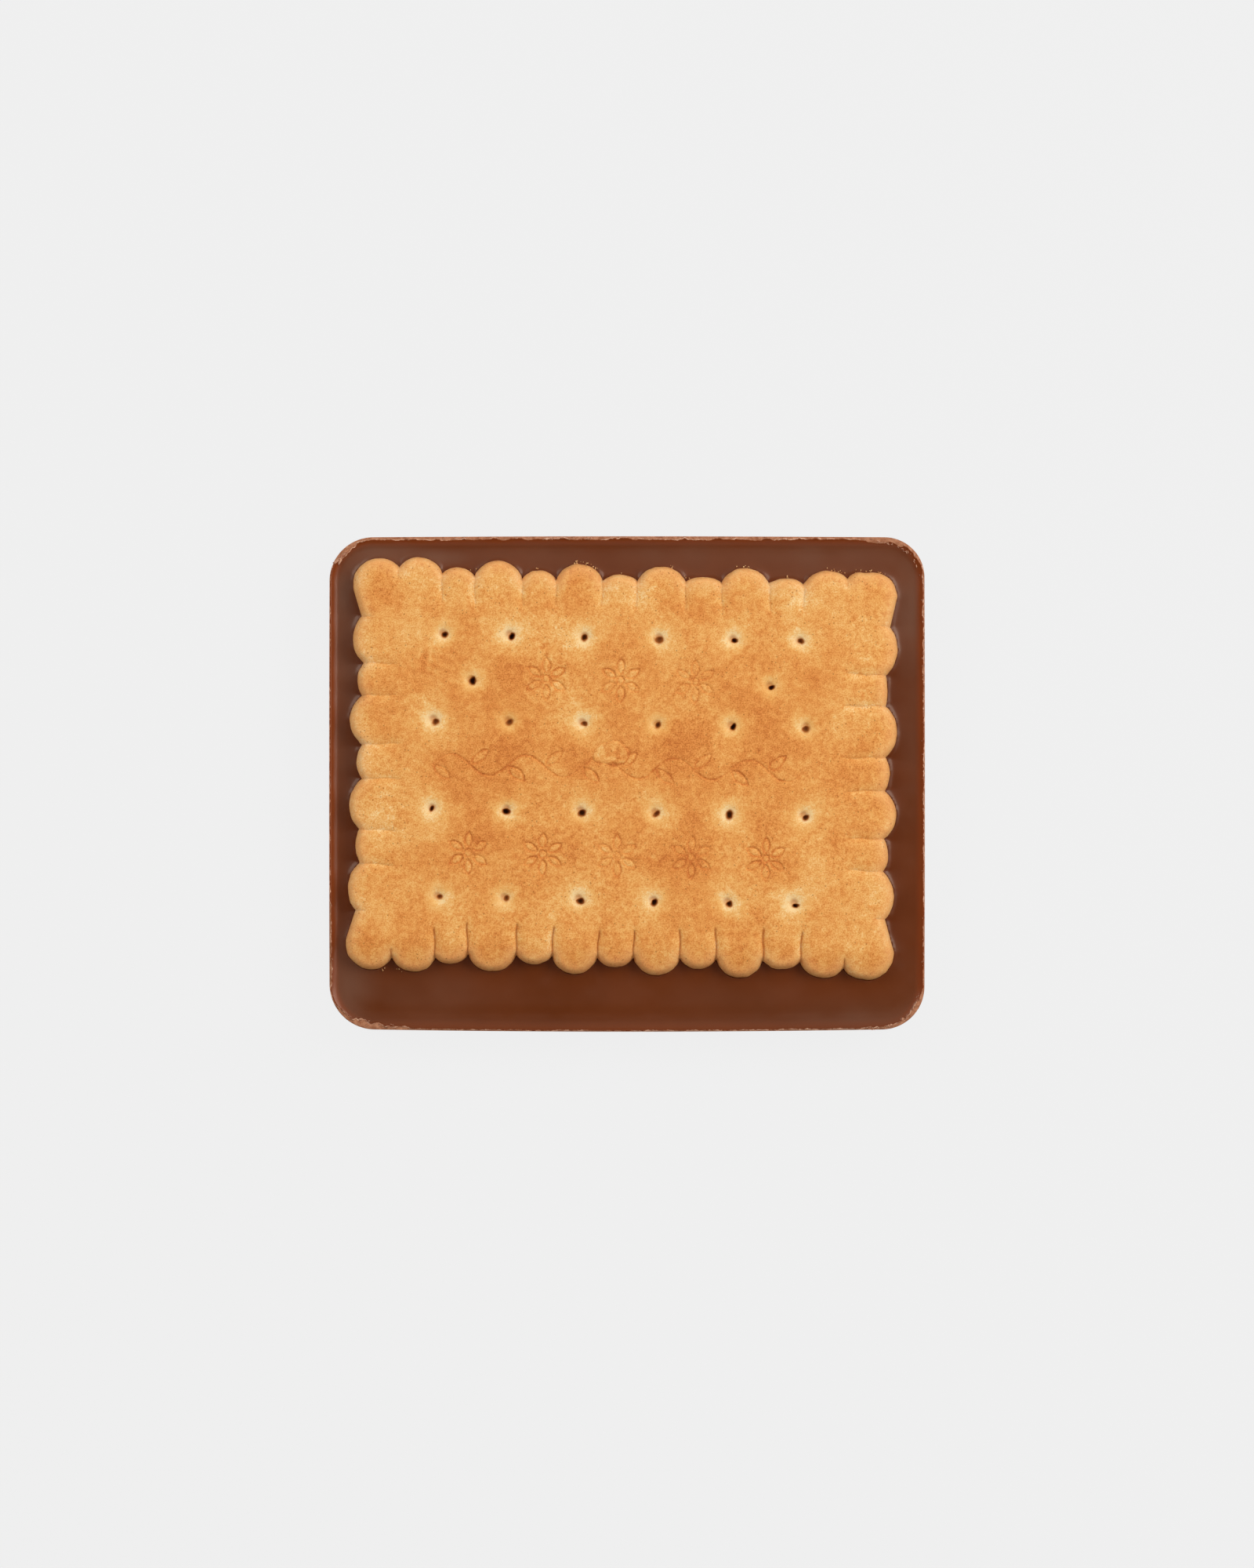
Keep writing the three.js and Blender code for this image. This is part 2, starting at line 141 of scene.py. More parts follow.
# A raised blister in the crust, crumpled on top, with a crack round it.
BLISTER = {"middle": (-1.45, 1.65), "radii": (1.95, 1.25), "height": 0.06, "crumple": 0.05, "crack": 0.05}
FACE_DIPS = [(0.06, 7.0, 3), (0.02, 2.2, 4)]  # the face's slow unevenness: depth, width, seed

NET_STEP = 0.2  # cells of the biscuit's top
FINE_PARTS = 3  # a cell with fine detail is cut into this many each way
CHOCOLATE_STEP = 0.17
TILE = 4.0  # distances are worked out for one square of this size after another


# ---- Small maths ----


def smoothstep(low, high, value):
    """0 up to low, and 1 from high on."""
    t = np.clip((value - low) / (high - low), 0, 1)
    return t * t * (3 - 2 * t)


def fade(low, high, value):
    """1 up to low, and 0 from high on."""
    return 1 - smoothstep(low, high, value)


def hump(value, width, power=2):
    """1 at 0, fading to 0 well beyond the width."""
    return np.exp(-((value / width) ** power))


def lengths(vectors):
    return np.linalg.norm(vectors, axis=1)


def turned(points, angle):
    """The points turned anticlockwise about the origin."""
    c, s = math.cos(angle), math.sin(angle)
    return points @ np.array([[c, s], [-s, c]])


def noise(points, size, seed):
    """Smooth noise between about -1 and 1, with features of the given size."""
    cells = 64
    lattice = np.random.default_rng(seed).uniform(-1, 1, (cells, cells))
    place = points / size + 1000.0
    corner = np.floor(place).astype(int)
    t = place - corner
    t = t * t * t * (t * (t * 6 - 15) + 10)
    i, j = corner[:, 0], corner[:, 1]
    a = lattice[i % cells, j % cells]
    b = lattice[(i + 1) % cells, j % cells]
    c = lattice[i % cells, (j + 1) % cells]
    d = lattice[(i + 1) % cells, (j + 1) % cells]
    low = a + (b - a) * t[:, 0]
    high = c + (d - c) * t[:, 0]
    return low + (high - low) * t[:, 1]


def rough_noise(points, size, seed, octaves=3):
    """Noise with finer noise added to it."""
    total = np.zeros(len(points))
    for k in range(octaves):
        total += noise(turned(points, -0.7 * k), size / 2**k, seed + k) / 2**k
    return total / 1.5


def shifted(loop):
    """Each item's follower in a closed loop."""
    return loop[1:] + loop[:1]


def direction(angle):
    return np.array([math.cos(angle), math.sin(angle)])


def tiles(points):
    """For each square tile that holds any points: their indices, the points, and their two corners."""
    squares = np.floor(points / TILE).astype(int)
    keys = squares[:, 0] * 10000 + squares[:, 1]
    order = np.argsort(keys, kind="stable")
    cuts = np.flatnonzero(np.diff(keys[order])) + 1
    for group in np.split(order, cuts) if len(points) else []:
        yield group, points[group], points[group].min(0), points[group].max(0)


def segments_distance(points, starts, ends):
    """The distance from each point to the nearest of some line segments, and its nearest place."""
    edges = ends - starts
    squares = np.maximum((edges**2).sum(1), 1e-12)
    middles = (starts + ends) / 2
    halves = np.sqrt(squares) / 2
    distances = np.empty(len(points))
    nearest = np.empty_like(points)
    for group, some, low, high in tiles(points):
        away = lengths(middles - (low + high) / 2)
        near = away - halves <= away.min() + np.linalg.norm(high - low) + 1e-9
        start, edge = starts[near], edges[near]
        to_x = some[:, None, 0] - start[:, 0]
        to_y = some[:, None, 1] - start[:, 1]
        t = np.clip((to_x * edge[:, 0] + to_y * edge[:, 1]) / squares[near], 0, 1)
        squared = (to_x - t * edge[:, 0]) ** 2 + (to_y - t * edge[:, 1]) ** 2
        best = squared.argmin(1)
        rows = np.arange(len(some))
        distances[group] = np.sqrt(squared[rows, best])
        nearest[group] = start[best] + t[rows, best][:, None] * edge[best]
    return distances, nearest


def is_inside(points, outline):
    """Which points lie inside a closed outline."""
    following = np.roll(outline, -1, axis=0)
    low_y = np.minimum(outline[:, 1], following[:, 1])
    high_y = np.maximum(outline[:, 1], following[:, 1])
    high_x = np.maximum(outline[:, 0], following[:, 0])
    inside = np.zeros(len(points), bool)
    for group, some, low, high in tiles(points):
        near = (high_y > low[1]) & (low_y <= high[1]) & (high_x > low[0]) & (low_y < high_y)
        a, b = outline[near], following[near]
        y = some[:, None, 1]
        spans = (a[:, 1] > y) != (b[:, 1] > y)
        crossing = (b[:, 0] - a[:, 0]) * (y - a[:, 1]) / (b[:, 1] - a[:, 1]) + a[:, 0]
        inside[group] = (spans & (some[:, None, 0] < crossing)).sum(1) % 2 == 1
    return inside


def nearest_on(points, outline):
    """The distance from each point to a closed outline, and the outline's nearest place."""
    return segments_distance(points, outline, np.roll(outline, -1, axis=0))


def outline_distance(points, outline):
    """Distance to a closed outline, negative inside it."""
    distance, _ = nearest_on(points, outline)
    return np.where(is_inside(points, outline), -distance, distance)


# ---- Outlines ----


def slab_outline():
    """The slab's outline at its widest, anticlockwise."""
    count = len(SLAB_SIDES)
    arcs = []
    for n, (swell, corner) in enumerate(SLAB_SIDES):
        next_swell = SLAB_SIDES[(n + 1) % count][0]
        swell_x, swell_y = (swell, next_swell) if n % 2 == 0 else (next_swell, swell)
        start = n * math.pi / 2
        signs = np.sign(direction(start + math.pi / 4))
        half = np.array([SLAB_LENGTH / 2 - swell_x, SLAB_WIDTH / 2 - swell_y])
        middle = signs * (half - corner)
        arcs.append([middle + corner * direction(start + t * math.pi / 2) for t in np.linspace(0, 1, 33)])
    points = []
    for n, arc in enumerate(arcs):
        following = (n + 1) % count
        out = direction(following * math.pi / 2)
        points += arc
        for t in np.linspace(0, 1, 60)[1:-1]:
            swell = SLAB_SIDES[following][0] * 4 * t * (1 - t)
            points.append(arc[-1] * (1 - t) + arcs[following][0] * t + swell * out)
    return np.array(points)


def uneven(n, kind):
    """A repeatable small unevenness between -1 and 1."""
    return math.sin(n * 5.3 + kind * 2.1)


def all_notches():
    """The notches anticlockwise, with the crease that runs in from each and the bulge that follows it."""
    notches = []
    for side in BISCUIT_SIDES:
        scallops = side["scallops"]
        half = np.cumsum([width for width, _ in scallops["lobes"]])
        bulges = [bulge for _, bulge in scallops["lobes"]]
        bulges = bulges[:0:-1] + bulges
        out = np.array(side["out"], float)
        along = np.array([-out[1], out[0]])
        places = [*-half[::-1], *half]
        for i, place in enumerate(places):
            n = len(notches)
            rise = scallops["notch_rise"] * (abs(place) / half[-1]) ** NOTCH_RISE_POWER
            more_along, more_out = MOVED_NOTCHES.get(n, (0, 0))
            at = along * (place + UNEVEN_NOTCH * uneven(n, 1) + more_along)
            at += out * (scallops["notch_line"] + rise + more_out)
            is_end = i in (0, len(places) - 1)
            bulge = None
            if i < len(bulges):
                bulge = bulges[i] + UNEVEN_BULGE * uneven(n, 2) + EXTRA_BULGE.get(n, 0)
            notches.append({
                "at": at + side["shift"],
                "inward": -out,
                "length": (CORNER_CREASE if is_end else side["crease"][0]) * (1 + 0.08 * uneven(n, 3)),
                "crease": side["crease"][1:],
                "bulge": bulge,
            })
    return notches


def scallop(start, end, bulge):
    """Points along the scallop between two notches, without its end: an arc of a circle."""
    chord = end - start
    half = np.linalg.norm(chord) / 2
    out = np.array([chord[1], -chord[0]]) / (2 * half)
    radius = (half**2 + bulge**2) / (2 * bulge)
    middle = (start + end) / 2 + out * (bulge - radius)
    spread = math.atan2(half, radius - bulge)
    steps = max(6, round(2 * radius * spread / OUTLINE_STEP))
    facing = math.atan2(out[1], out[0])
    return [middle + radius * direction(facing + (2 * s / steps - 1) * spread) for s in range(steps)]


def corner_lobe(start, end):
    """The lobe at a corner, round towards the long side and straight to its notch on the short side."""
    signs = np.sign(start + end)
    lobe = SMALL_CORNER_LOBE if (signs > 0).all() else CORNER_LOBE
    middle = signs * lobe["middle"]
    radius = lobe["radius"]
    starts_on_short = abs(start[0]) > abs(end[0])
    short, long = (start, end) if starts_on_short else (end, start)
    way = 1 if starts_on_short else -1
    to_short = short - middle
    to_long = long - middle
    touch = math.atan2(to_short[1], to_short[0]) + way * math.acos(radius / np.linalg.norm(to_short))
    sweep = (way * (math.atan2(to_long[1], to_long[0]) - touch)) % (2 * math.pi)
    steps = round(radius * sweep / OUTLINE_STEP)
    points = [short]
    for s in range(steps):
        t = s / steps
        reach = radius + (np.linalg.norm(to_long) - radius) * smoothstep(0.7, 1, t)
        points.append(middle + reach * direction(touch + way * sweep * t))
    points.append(long)
    return points[:-1] if starts_on_short else points[:0:-1]


def biscuit_outline(notches):
    points = []
    for i, notch in enumerate(notches):
        end = notches[(i + 1) % len(notches)]["at"]
        if notch["bulge"] is None:
            points += corner_lobe(notch["at"], end)
        else:
            points += scallop(notch["at"], end, notch["bulge"])
    points = np.array(points)
    rough = np.stack([rough_noise(points, 0.7, seed) for seed in (85, 88)], 1)
    return points + ROUGH_EDGE * rough


def prick_places():
    places = []
    for row, y in enumerate(PRICK_ROWS):
        for column in range(PRICK_COLUMNS):
            from_middle = column - (PRICK_COLUMNS - 1) / 2
            is_corner = row in (0, len(PRICK_ROWS) - 1) and column in (0, PRICK_COLUMNS - 1)
            pull = math.copysign(END_PRICK_PULL, from_middle) if is_corner else 0
            places.append((from_middle * PRICK_PITCH - pull, y))
    places += [(-EXTRA_PRICKS[0], EXTRA_PRICKS[1]), EXTRA_PRICKS]
    return np.array(places) + (PATTERN_SHIFT, 0)


NOTCHES = all_notches()
SLAB_OUTLINE = slab_outline()
BISCUIT_OUTLINE = biscuit_outline(NOTCHES)
PRICKS = prick_places()


def to_biscuit(points):
    """From the model's frame to the biscuit's own."""
    return turned(points - BISCUIT_MIDDLE, -BISCUIT_TURN)


def from_biscuit(points):
    return turned(points, BISCUIT_TURN) + BISCUIT_MIDDLE


# ---- The pressed ornament, as lines and as closed shapes ----


def lens(start, angle, length, width, parts=9):
    """The closed outline of a leaf or petal."""
    along, across = direction(angle), direction(angle + math.pi / 2)
    t = np.linspace(0, 1, parts)
    bow = width / 2 * np.sin(math.pi * t) ** 0.8
    one = [start + along * length * u + across * b for u, b in zip(t, bow)]
    other = [start + along * length * u - across * b for u, b in zip(t, bow)]
    return np.array(one + other[-2:0:-1])


def vine_point(t):
    x = (t - 0.5) * VINE["waves"] * PRICK_PITCH + PATTERN_SHIFT
    return np.array([x, VINE["y"] + VINE["swing"] * math.sin(2 * math.pi * VINE["waves"] * t)])


def pressed_shapes():
    """The leaves, petals and hearts, as closed outlines."""
    shapes = []
    crossings = 2 * VINE["waves"]
    for k in range(crossings):
        angle = -LEAF["lean"] if k % 2 == 0 else LEAF["lean"]
        start = vine_point(k / crossings) + LEAF["gap"] * direction(angle)
        shapes.append(lens(start, angle, LEAF["length"], LEAF["width"]))
    for y, count in BLOSSOM_ROWS:
        for k in range(count):
            middle = np.array([(k - (count - 1) / 2) * PRICK_PITCH + PATTERN_SHIFT, y])
            turns = np.linspace(0, 2 * math.pi, 13)[:-1]
            shapes.append(middle + HEART_RADIUS * np.array([direction(t) for t in turns]))
            for petal in range(PETAL["count"]):
                angle = math.pi / 2 + petal * 2 * math.pi / PETAL["count"]
                start = middle + PETAL["start"] * direction(angle)
                shapes.append(lens(start, angle, PETAL["length"], PETAL["width"]))
    return shapes


def pressed_lines(shapes):
    """Every pressed line as segments: the vine and the outlines of the shapes."""
    vine = np.array([vine_point(t) for t in np.linspace(0, 1, 121)])
    starts, ends = [vine[:-1]], [vine[1:]]
    for shape in shapes:
        starts.append(shape)
        ends.append(np.roll(shape, -1, axis=0))
    return np.concatenate(starts), np.concatenate(ends)


SHAPES = pressed_shapes()
LINES = pressed_lines(SHAPES)


# ---- The biscuit's relief and browning ----


def crease_relief(points):
    """Each point's depth in the creases, how much it is on their shoulders, and the painted shade in their
    cuts.
    """
    depth = np.zeros(len(points))
    shoulder = np.zeros(len(points))
    painted_shade = np.zeros(len(points))
    for n, notch in enumerate(NOTCHES):
        inward, length = notch["inward"], notch["length"]
        soft_depth, cut_depth, cut_width, cut_shade_strength = notch["crease"]
        offset = points - notch["at"]
        along = offset @ inward
        across = offset @ np.array([-inward[1], inward[0]])
        near = (along > -2.5) & (along < length + 1.5) & (np.abs(across) < CREASE_REACH + 0.4)
        along, across = along[near], across[near]
        across = np.abs(across + along * CREASE_LEAN * uneven(n, 4) + 0.05 * np.sin(along * 2.1 + n))
        soft = fade(length - 1.2, length + 0.8, along) * np.clip(1 - across / CREASE_REACH, 0, 1) ** 2
        end = fade(length - 0.3, length + 0.1, along)
        cut = end * np.clip(1 - across / cut_width, 0, 1)
        # Painted shade in the cut, where shade falls; it is strongest at the cut's inner end.
        painted_crease_shade = end * np.clip(1 - across / (1.5 * cut_width), 0, 1) * cut_shade_strength
        depth[near] = np.maximum(depth[near], soft_depth * soft + cut_depth * cut)
        shoulder[near] = np.maximum(shoulder[near], soft)
        painted_shade[near] = np.maximum(painted_shade[near], painted_crease_shade * (0.75 + 0.25 * along / length))
    return depth, shoulder, painted_shade


def prick_relief(points):
    """Each point's depth in the pricks, its distance to the nearest, and the painted shade in the holes."""
    depth = np.zeros(len(points))
    nearest = np.full(len(points), 99.0)
    painted_shade = np.zeros(len(points))
    for n, place in enumerate(PRICKS):
        draw = np.random.default_rng(100 + n)
        core = np.array([draw.uniform(-0.05, 0.2), draw.uniform(-0.25, -0.05)])
        turn = draw.uniform(-0.4, math.pi / 2)
        size = draw.uniform(*PRICK_CORE)
        stretch = draw.uniform(*PRICK_SLIT)
        baked = draw.uniform(0, 1)
        near = (np.abs(points - place) < 5).all(1)
        offset = points[near] - place
        radius = lengths(offset)
        nearest[near] = np.minimum(nearest[near], radius)
        local = turned(offset - core, -turn)
        hole = lengths(local / (size, size * stretch)) + 0.15 * noise(points[near], 0.3, 63)
        mouth = lengths(offset + 0.35 * core) / PRICK_FUNNEL[1]
        crater = PRICK_DIP[0] * hump(radius, PRICK_DIP[1])
        crater += PRICK_CRATER[0] * fade(0.2, PRICK_CRATER[1], radius)
        funnel = PRICK_FUNNEL[0] * fade(0.1, 1.0, mouth)
        low, high = PRICK_DEPTH
        shaft = (low + (high - low) * baked) * fade(0.2, 1.25, hole)
        depth[near] = np.maximum(depth[near], crater + np.maximum(funnel, shaft))
        # Painted shade: light in the funnel round a hole, and strong in the hole itself, more so in the more
        # baked ones.
        shade = 0.3 * fade(0.3, 1.15, mouth)
        shade = np.maximum(shade, (0.66 + 0.3 * baked) * fade(0.35, 1.75, hole))
        painted_shade[near] = np.maximum(painted_shade[near], shade)
    return depth, nearest, painted_shade


def pressed_relief(points):
    """How far each point lies from a pressed line, and whether it is inside a pressed shape."""
    distance = np.full(len(points), 9.0)
    inside = np.zeros(len(points), bool)
    reach = 3.2
    bands = [VINE["y"]] + [y for y, _ in BLOSSOM_ROWS]
    near = np.min([np.abs(points[:, 1] - y) for y in bands], axis=0) < reach
    near &= np.abs(points[:, 0]) < VINE["waves"] * PRICK_PITCH / 2 + reach
    some = points[near]
    some = some + 0.05 * np.stack([noise(some, 0.8, 51), noise(some, 0.8, 52)], 1)
    distance[near], _ = segments_distance(some, *LINES)
    is_in = np.zeros(len(some), bool)
    for shape in SHAPES:
        close = np.flatnonzero(((some > shape.min(0)) & (some < shape.max(0))).all(1))
        is_in[close] |= is_inside(some[close], shape)
    inside[near] = is_in
    return distance, inside


# Crumbly places in the baked face: middle, radius, and how rough they are.
ROUGH_SPOTS = [
    ((-21.6, 11), 2.9, 0.7),
    ((-8.9, 13.3), 1, 0.9),
    ((3.2, -9.5), 1, 0.8),
    ((26.6, 8.2), 1.6, 0.5),
    ((-11.3, -9.5), 1.1, 0.7),
    ((27.5, -14.5), 1.5, 0.6),
]


def roughness(points):
    total = np.zeros(len(points))
    wobble = 0.35 * noise(points, 0.9, 61)
    for place, radius, amount in ROUGH_SPOTS:
        away = lengths(points - place)
        total = np.maximum(total, amount * fade(0.45, 1.0, away / radius + wobble))
    return total


def blister_reach(points):
    """0 at the blister's middle and 1 at its edge."""
    offset = (points - BLISTER["middle"]) / BLISTER["radii"]
    return lengths(offset) + 0.16 * noise(points, 1.0, 81)


def biscuit_surface(points):
    """Everything known about points on the biscuit's top."""
    inset = np.maximum(-outline_distance(points, BISCUIT_OUTLINE), 0)
    crease_depth, shoulder, painted_shade = crease_relief(points)
    prick_depth, prick_distance, painted_prick_shade = prick_relief(points)
    line, pressed = pressed_relief(points)
    rough = roughness(points)
    blister = blister_reach(points)
    # How much of the pressing is left: less in the rough spots and here and there.
    kept = smoothstep(0.7, 1.1, blister) * (1 - 0.7 * np.minimum(rough, 1))
    kept *= 0.65 + 0.35 * smoothstep(-0.5, 0.3, noise(points, 2.3, 55))

    edge = 1 - (1 - np.minimum(inset, SHOULDER) / SHOULDER) ** SHOULDER_POWER
    edge = np.clip(edge, 0, 1) ** (1 / SHOULDER_POWER)
    height = SHOULDER_FOOT + (BISCUIT_THICKNESS - SHOULDER_FOOT) * edge
    x, y = points.T
    for key, reach in (("ends", np.abs(x)), ("upper", y), ("lower", -y)):
        start, width, drop = SAG[key]
        height -= drop * np.clip((reach - start) / width, 0, 1.2) ** 2
    height -= crease_depth + prick_depth
    height -= kept * LINE_CUT["depth"] * np.clip(1 - line / LINE_CUT["width"], 0, 1)
    height -= kept * (PRESSED_DEPTH * pressed + LINE_DIP[0] * hump(line, LINE_DIP[1]))
    for depth, width, seed in FACE_DIPS:
        height -= depth * (1 + noise(points, width, seed))
    height += rough * (0.08 * rough_noise(points, 0.6, 31) - 0.04)
    height += BLISTER["height"] * fade(0.85, 1.05, blister)
    height += BLISTER["crumple"] * fade(0.6, 1.0, blister) * rough_noise(points, 0.7, 82)
    height -= BLISTER["crack"] * hump(blister - 1, 0.09)
    height = np.minimum(height, BISCUIT_THICKNESS)
    return {
        "height": height, "inset": inset, "shoulder": shoulder, "painted_shade": np.maximum(painted_shade, painted_prick_shade),
        "prick": prick_distance, "line": line, "pressed": pressed, "kept": kept, "rough": rough,
        "blister": blister,
    }


# Places that are browner (positive) or paler (negative) than others: middle, radius, strength.
BLOTCHES = [
    ((-13, 3), 4.2, 0.2),
    ((-12, 11), 3.4, 0.15),
    ((5.5, 3), 3.6, 0.26),
    ((17, 5), 4, 0.14),
    ((-4, 2), 3.8, 0.25),
    ((17.5, -6), 4.5, 0.22),
    ((8, -9), 3, 0.15),
    ((-17.5, -6), 4.2, 0.2),
    ((-7, -9.5), 3.5, 0.07),
    ((-23, 8.5), 4.5, 0.08),
    ((0.5, 5.5), 3.2, 0.13),
    ((14.5, 10.5), 4.2, 0.16),
    ((-18, 7.5), 3.5, 0.12),
    ((6.5, -5), 3.2, 0.1),
    ((-6, -5), 2.8, 0.15),
    ((12, -15), 3, 0.07),
    ((-3.5, -19.5), 4, 0.14),
    ((0, -10.5), 3, -0.06),
    ((-24, 20), 4, -0.14),
    ((19, 18), 5.5, -0.15),
    ((-12, -15), 3, -0.08),
    ((25, -12), 4, -0.07),
]


# How much browner (positive) or paler (negative) each kind of place is than the crust's usual tone.
TONE = {
    "usual": 0.5, "broad_mottle": 0.21, "mottle": 0.14, "corner_lobe": 0.12, "large_scallop": 0.04,
    "small_scallop": -0.05, "shoulder": -0.2, "prick_ring": -0.32, "prick_halo": -0.2, "line": 0.24,
    "pressed": -0.12, "rough": 0.22, "blister": 0.3, "crack": 0.5, "upper_side": -0.14, "ends": -0.15,
}


def browning(points, surface):
    """How brown the crust is, from 0 (pale) to 1."""
    brown = TONE["usual"] + TONE["broad_mottle"] * rough_noise(points, 6.5, 11)
    brown += TONE["mottle"] * rough_noise(points, 2.6, 21)
    for place, radius, strength in BLOTCHES:
        brown += strength * hump(lengths(points - place), radius)
    for i, notch in enumerate(NOTCHES):
        end = NOTCHES[(i + 1) % len(NOTCHES)]["at"]
        if notch["bulge"] is None:
            tip, kind = np.sign(end) * CORNER_LOBE["middle"], "corner_lobe"
        else:
            tip = (notch["at"] + end) / 2 + notch["inward"] * (0.6 - notch["bulge"])
            kind = "large_scallop" if notch["bulge"] > 1 else "small_scallop"
        brown += TONE[kind] * hump(lengths(points - tip), 1.9)
    brown += TONE["shoulder"] * surface["shoulder"]
    brown += TONE["prick_ring"] * hump(surface["prick"], 1.3, 3)
    brown += TONE["prick_halo"] * hump(surface["prick"], 2.4)
    pressing = TONE["line"] * hump(surface["line"], 0.13) + TONE["pressed"] * surface["pressed"]
    brown += surface["kept"] * pressing
    brown += surface["rough"] * (TONE["rough"] * rough_noise(points, 0.5, 41) - 0.03)
    in_blister = fade(0.8, 1.05, surface["blister"])
    brown += in_blister * (TONE["blister"] * rough_noise(points, 0.55, 45) - 0.06)
    crack = hump(surface["blister"] - 1, 0.06) * smoothstep(-0.1, 0.3, noise(points, 1.3, 46))
    brown += TONE["crack"] * crack
    x, y = points.T
    brown += TONE["upper_side"] * smoothstep(17.0, 20.5, y)
    brown += TONE["ends"] * smoothstep(27.0, 29.5, np.abs(x))
    return np.clip(brown, 0, 1)


# ---- Nets: meshes over the region where a field is negative ----


def onto_edge(points, field):
    """Moves points that are close to the region's edge onto it."""
    tiny = 0.01
    for _ in range(2):
        value = field(points)
        slope_x = (field(points + (tiny, 0)) - field(points - (tiny, 0))) / (2 * tiny)
        slope_y = (field(points + (0, tiny)) - field(points - (0, tiny))) / (2 * tiny)
        squared = np.maximum(slope_x**2 + slope_y**2, 0.25)
        points = points - np.stack([slope_x, slope_y], 1) * (value / squared)[:, None]
    return points


class Net:
    """A flat net of cells over a region, whose edge points lie on the region's edge."""

    def __init__(self, low, high, step, field, is_fine):
        counts = np.ceil((np.array(high) - low) / step).astype(int)
        xs = low[0] + step * np.arange(counts[0] + 1)
        ys = low[1] + step * np.arange(counts[1] + 1)
        grid = np.stack(np.meshgrid(xs, ys, indexing="ij"), -1).reshape(-1, 2)
        value = field(grid)
        snapped = np.abs(value) < 0.3 * step
        grid[snapped] = onto_edge(grid[snapped], field)
        value[snapped] = 0
        index = np.arange(len(grid)).reshape(counts + 1)
        corners = [index[:-1, :-1], index[1:, :-1], index[1:, 1:], index[:-1, 1:]]
        cells = np.stack(corners, -1).reshape(-1, 4)
        some = (value[cells] < 0).any(1)
        full = some & (value[cells] <= 0).all(1)
        fine = full.copy()
        fine[full] = is_fine(grid[cells[full]].mean(1))

        self.points = list(grid)
        self.between = {}
        self.crossings = {}
        self.faces = []
        for cell in cells[fine].tolist():
            self._split(*cell)
        first_crossing = len(self.points)
        for cell in cells[some & ~fine].tolist():
            self._outline(cell, value)
        points = np.array(self.points)
        points[first_crossing:] = onto_edge(points[first_crossing:], field)
        used = sorted({v for face in self.faces for v in face})
        renamed = {old: new for new, old in enumerate(used)}
        self.points = points[used]
        self.faces = [[renamed[v] for v in face] for face in self.faces]

    def _cut(self, a, b):
        """Cuts edge a-b into equal parts, and gives all the points from a to b."""
        key = (min(a, b), max(a, b))
        if key not in self.between:
            start, end = self.points[key[0]], self.points[key[1]]
            first = len(self.points)
            self.between[key] = list(range(first, first + FINE_PARTS - 1))
            self.points += [start + (end - start) * k / FINE_PARTS for k in range(1, FINE_PARTS)]
        return [a, *self._points_between(a, b), b]

    def _points_between(self, a, b):
        """The points on edge a-b from a to b, if it has been cut."""
        new = self.between.get((min(a, b), max(a, b)), [])
        return new if a < b else new[::-1]

    def _split(self, a, b, c, d):
        """Splits a cell into equal parts each way."""
        rows = [self._cut(start, end) for start, end in zip(self._cut(a, d), self._cut(b, c))]
        for low, high in zip(rows, rows[1:]):
            for k in range(FINE_PARTS):
                self.faces.append([low[k], low[k + 1], high[k + 1], high[k]])

    def _outline(self, cell, value):
        """Adds the part of a cell that is inside as one face."""
        face = []
        for a, b in zip(cell, shifted(cell)):
            if value[a] <= 0:
                face.append(a)
            if value[a] <= 0 and value[b] <= 0:
                face += self._points_between(a, b)
            elif value[a] * value[b] < 0:
                key = (min(a, b), max(a, b))
                if key not in self.crossings:
                    t = value[a] / (value[a] - value[b])
                    self.crossings[key] = len(self.points)
                    self.points.append(self.points[a] + (self.points[b] - self.points[a]) * t)
                face.append(self.crossings[key])
        if len(face) > 2:
            self.faces.append(face)

    def loops(self):
        """The net's edges as loops, with the net on their left."""
        following = {}
        directed = set()
        for face in self.faces:
            directed.update(zip(face, shifted(face)))
        for a, b in directed:
            if (b, a) not in directed:
                following[a] = b
        loops = []
        while following:
            start, at = following.popitem()
            loop = [start]
            while at != start:
                loop.append(at)
                at = following.pop(at)
            loops.append(loop)
        return loops


def add_rings(points, faces, loop, rings):
    """Joins rings of points to a loop, one after another, and closes the last with a flat face."""
    for ring in rings:
        current = list(range(len(points), len(points) + len(ring)))
        points = np.concatenate([points, ring])
        faces += [list(side) for side in zip(shifted(loop), loop, current, shifted(current))]
        loop = current
    faces.append(loop[::-1])
    return points


def raised(points, height):
    return np.column_stack([points, np.broadcast_to(height, len(points))])


def make_object(name, points, faces, attributes=None):
    """A smooth mesh object from millimetre points, with float attributes on its points."""
    mesh = bpy.data.meshes.new(name)
    mesh.from_pydata((np.asarray(points) * MM).tolist(), [], faces)
    for label, values in (attributes or {}).items():
        layer = mesh.attributes.new(label, "FLOAT", "POINT")
        layer.data.foreach_set("value", np.asarray(values, np.float32))
    work = bmesh.new()
    work.from_mesh(mesh)
    bmesh.ops.remove_doubles(work, verts=work.verts, dist=0.002 * MM)
    bmesh.ops.dissolve_degenerate(work, edges=work.edges, dist=0.001 * MM)
    work.to_mesh(mesh)
    work.free()
    mesh.shade_smooth()
    piece = bpy.data.objects.new(name, mesh)
    bpy.context.scene.collection.objects.link(piece)
    return piece


def outward(points, outline):
    """Unit vectors from points inside an outline to its nearest place."""
    distance, nearest = nearest_on(points, outline)
    return (nearest - points) / distance[:, None]


# ---- The biscuit's mesh ----

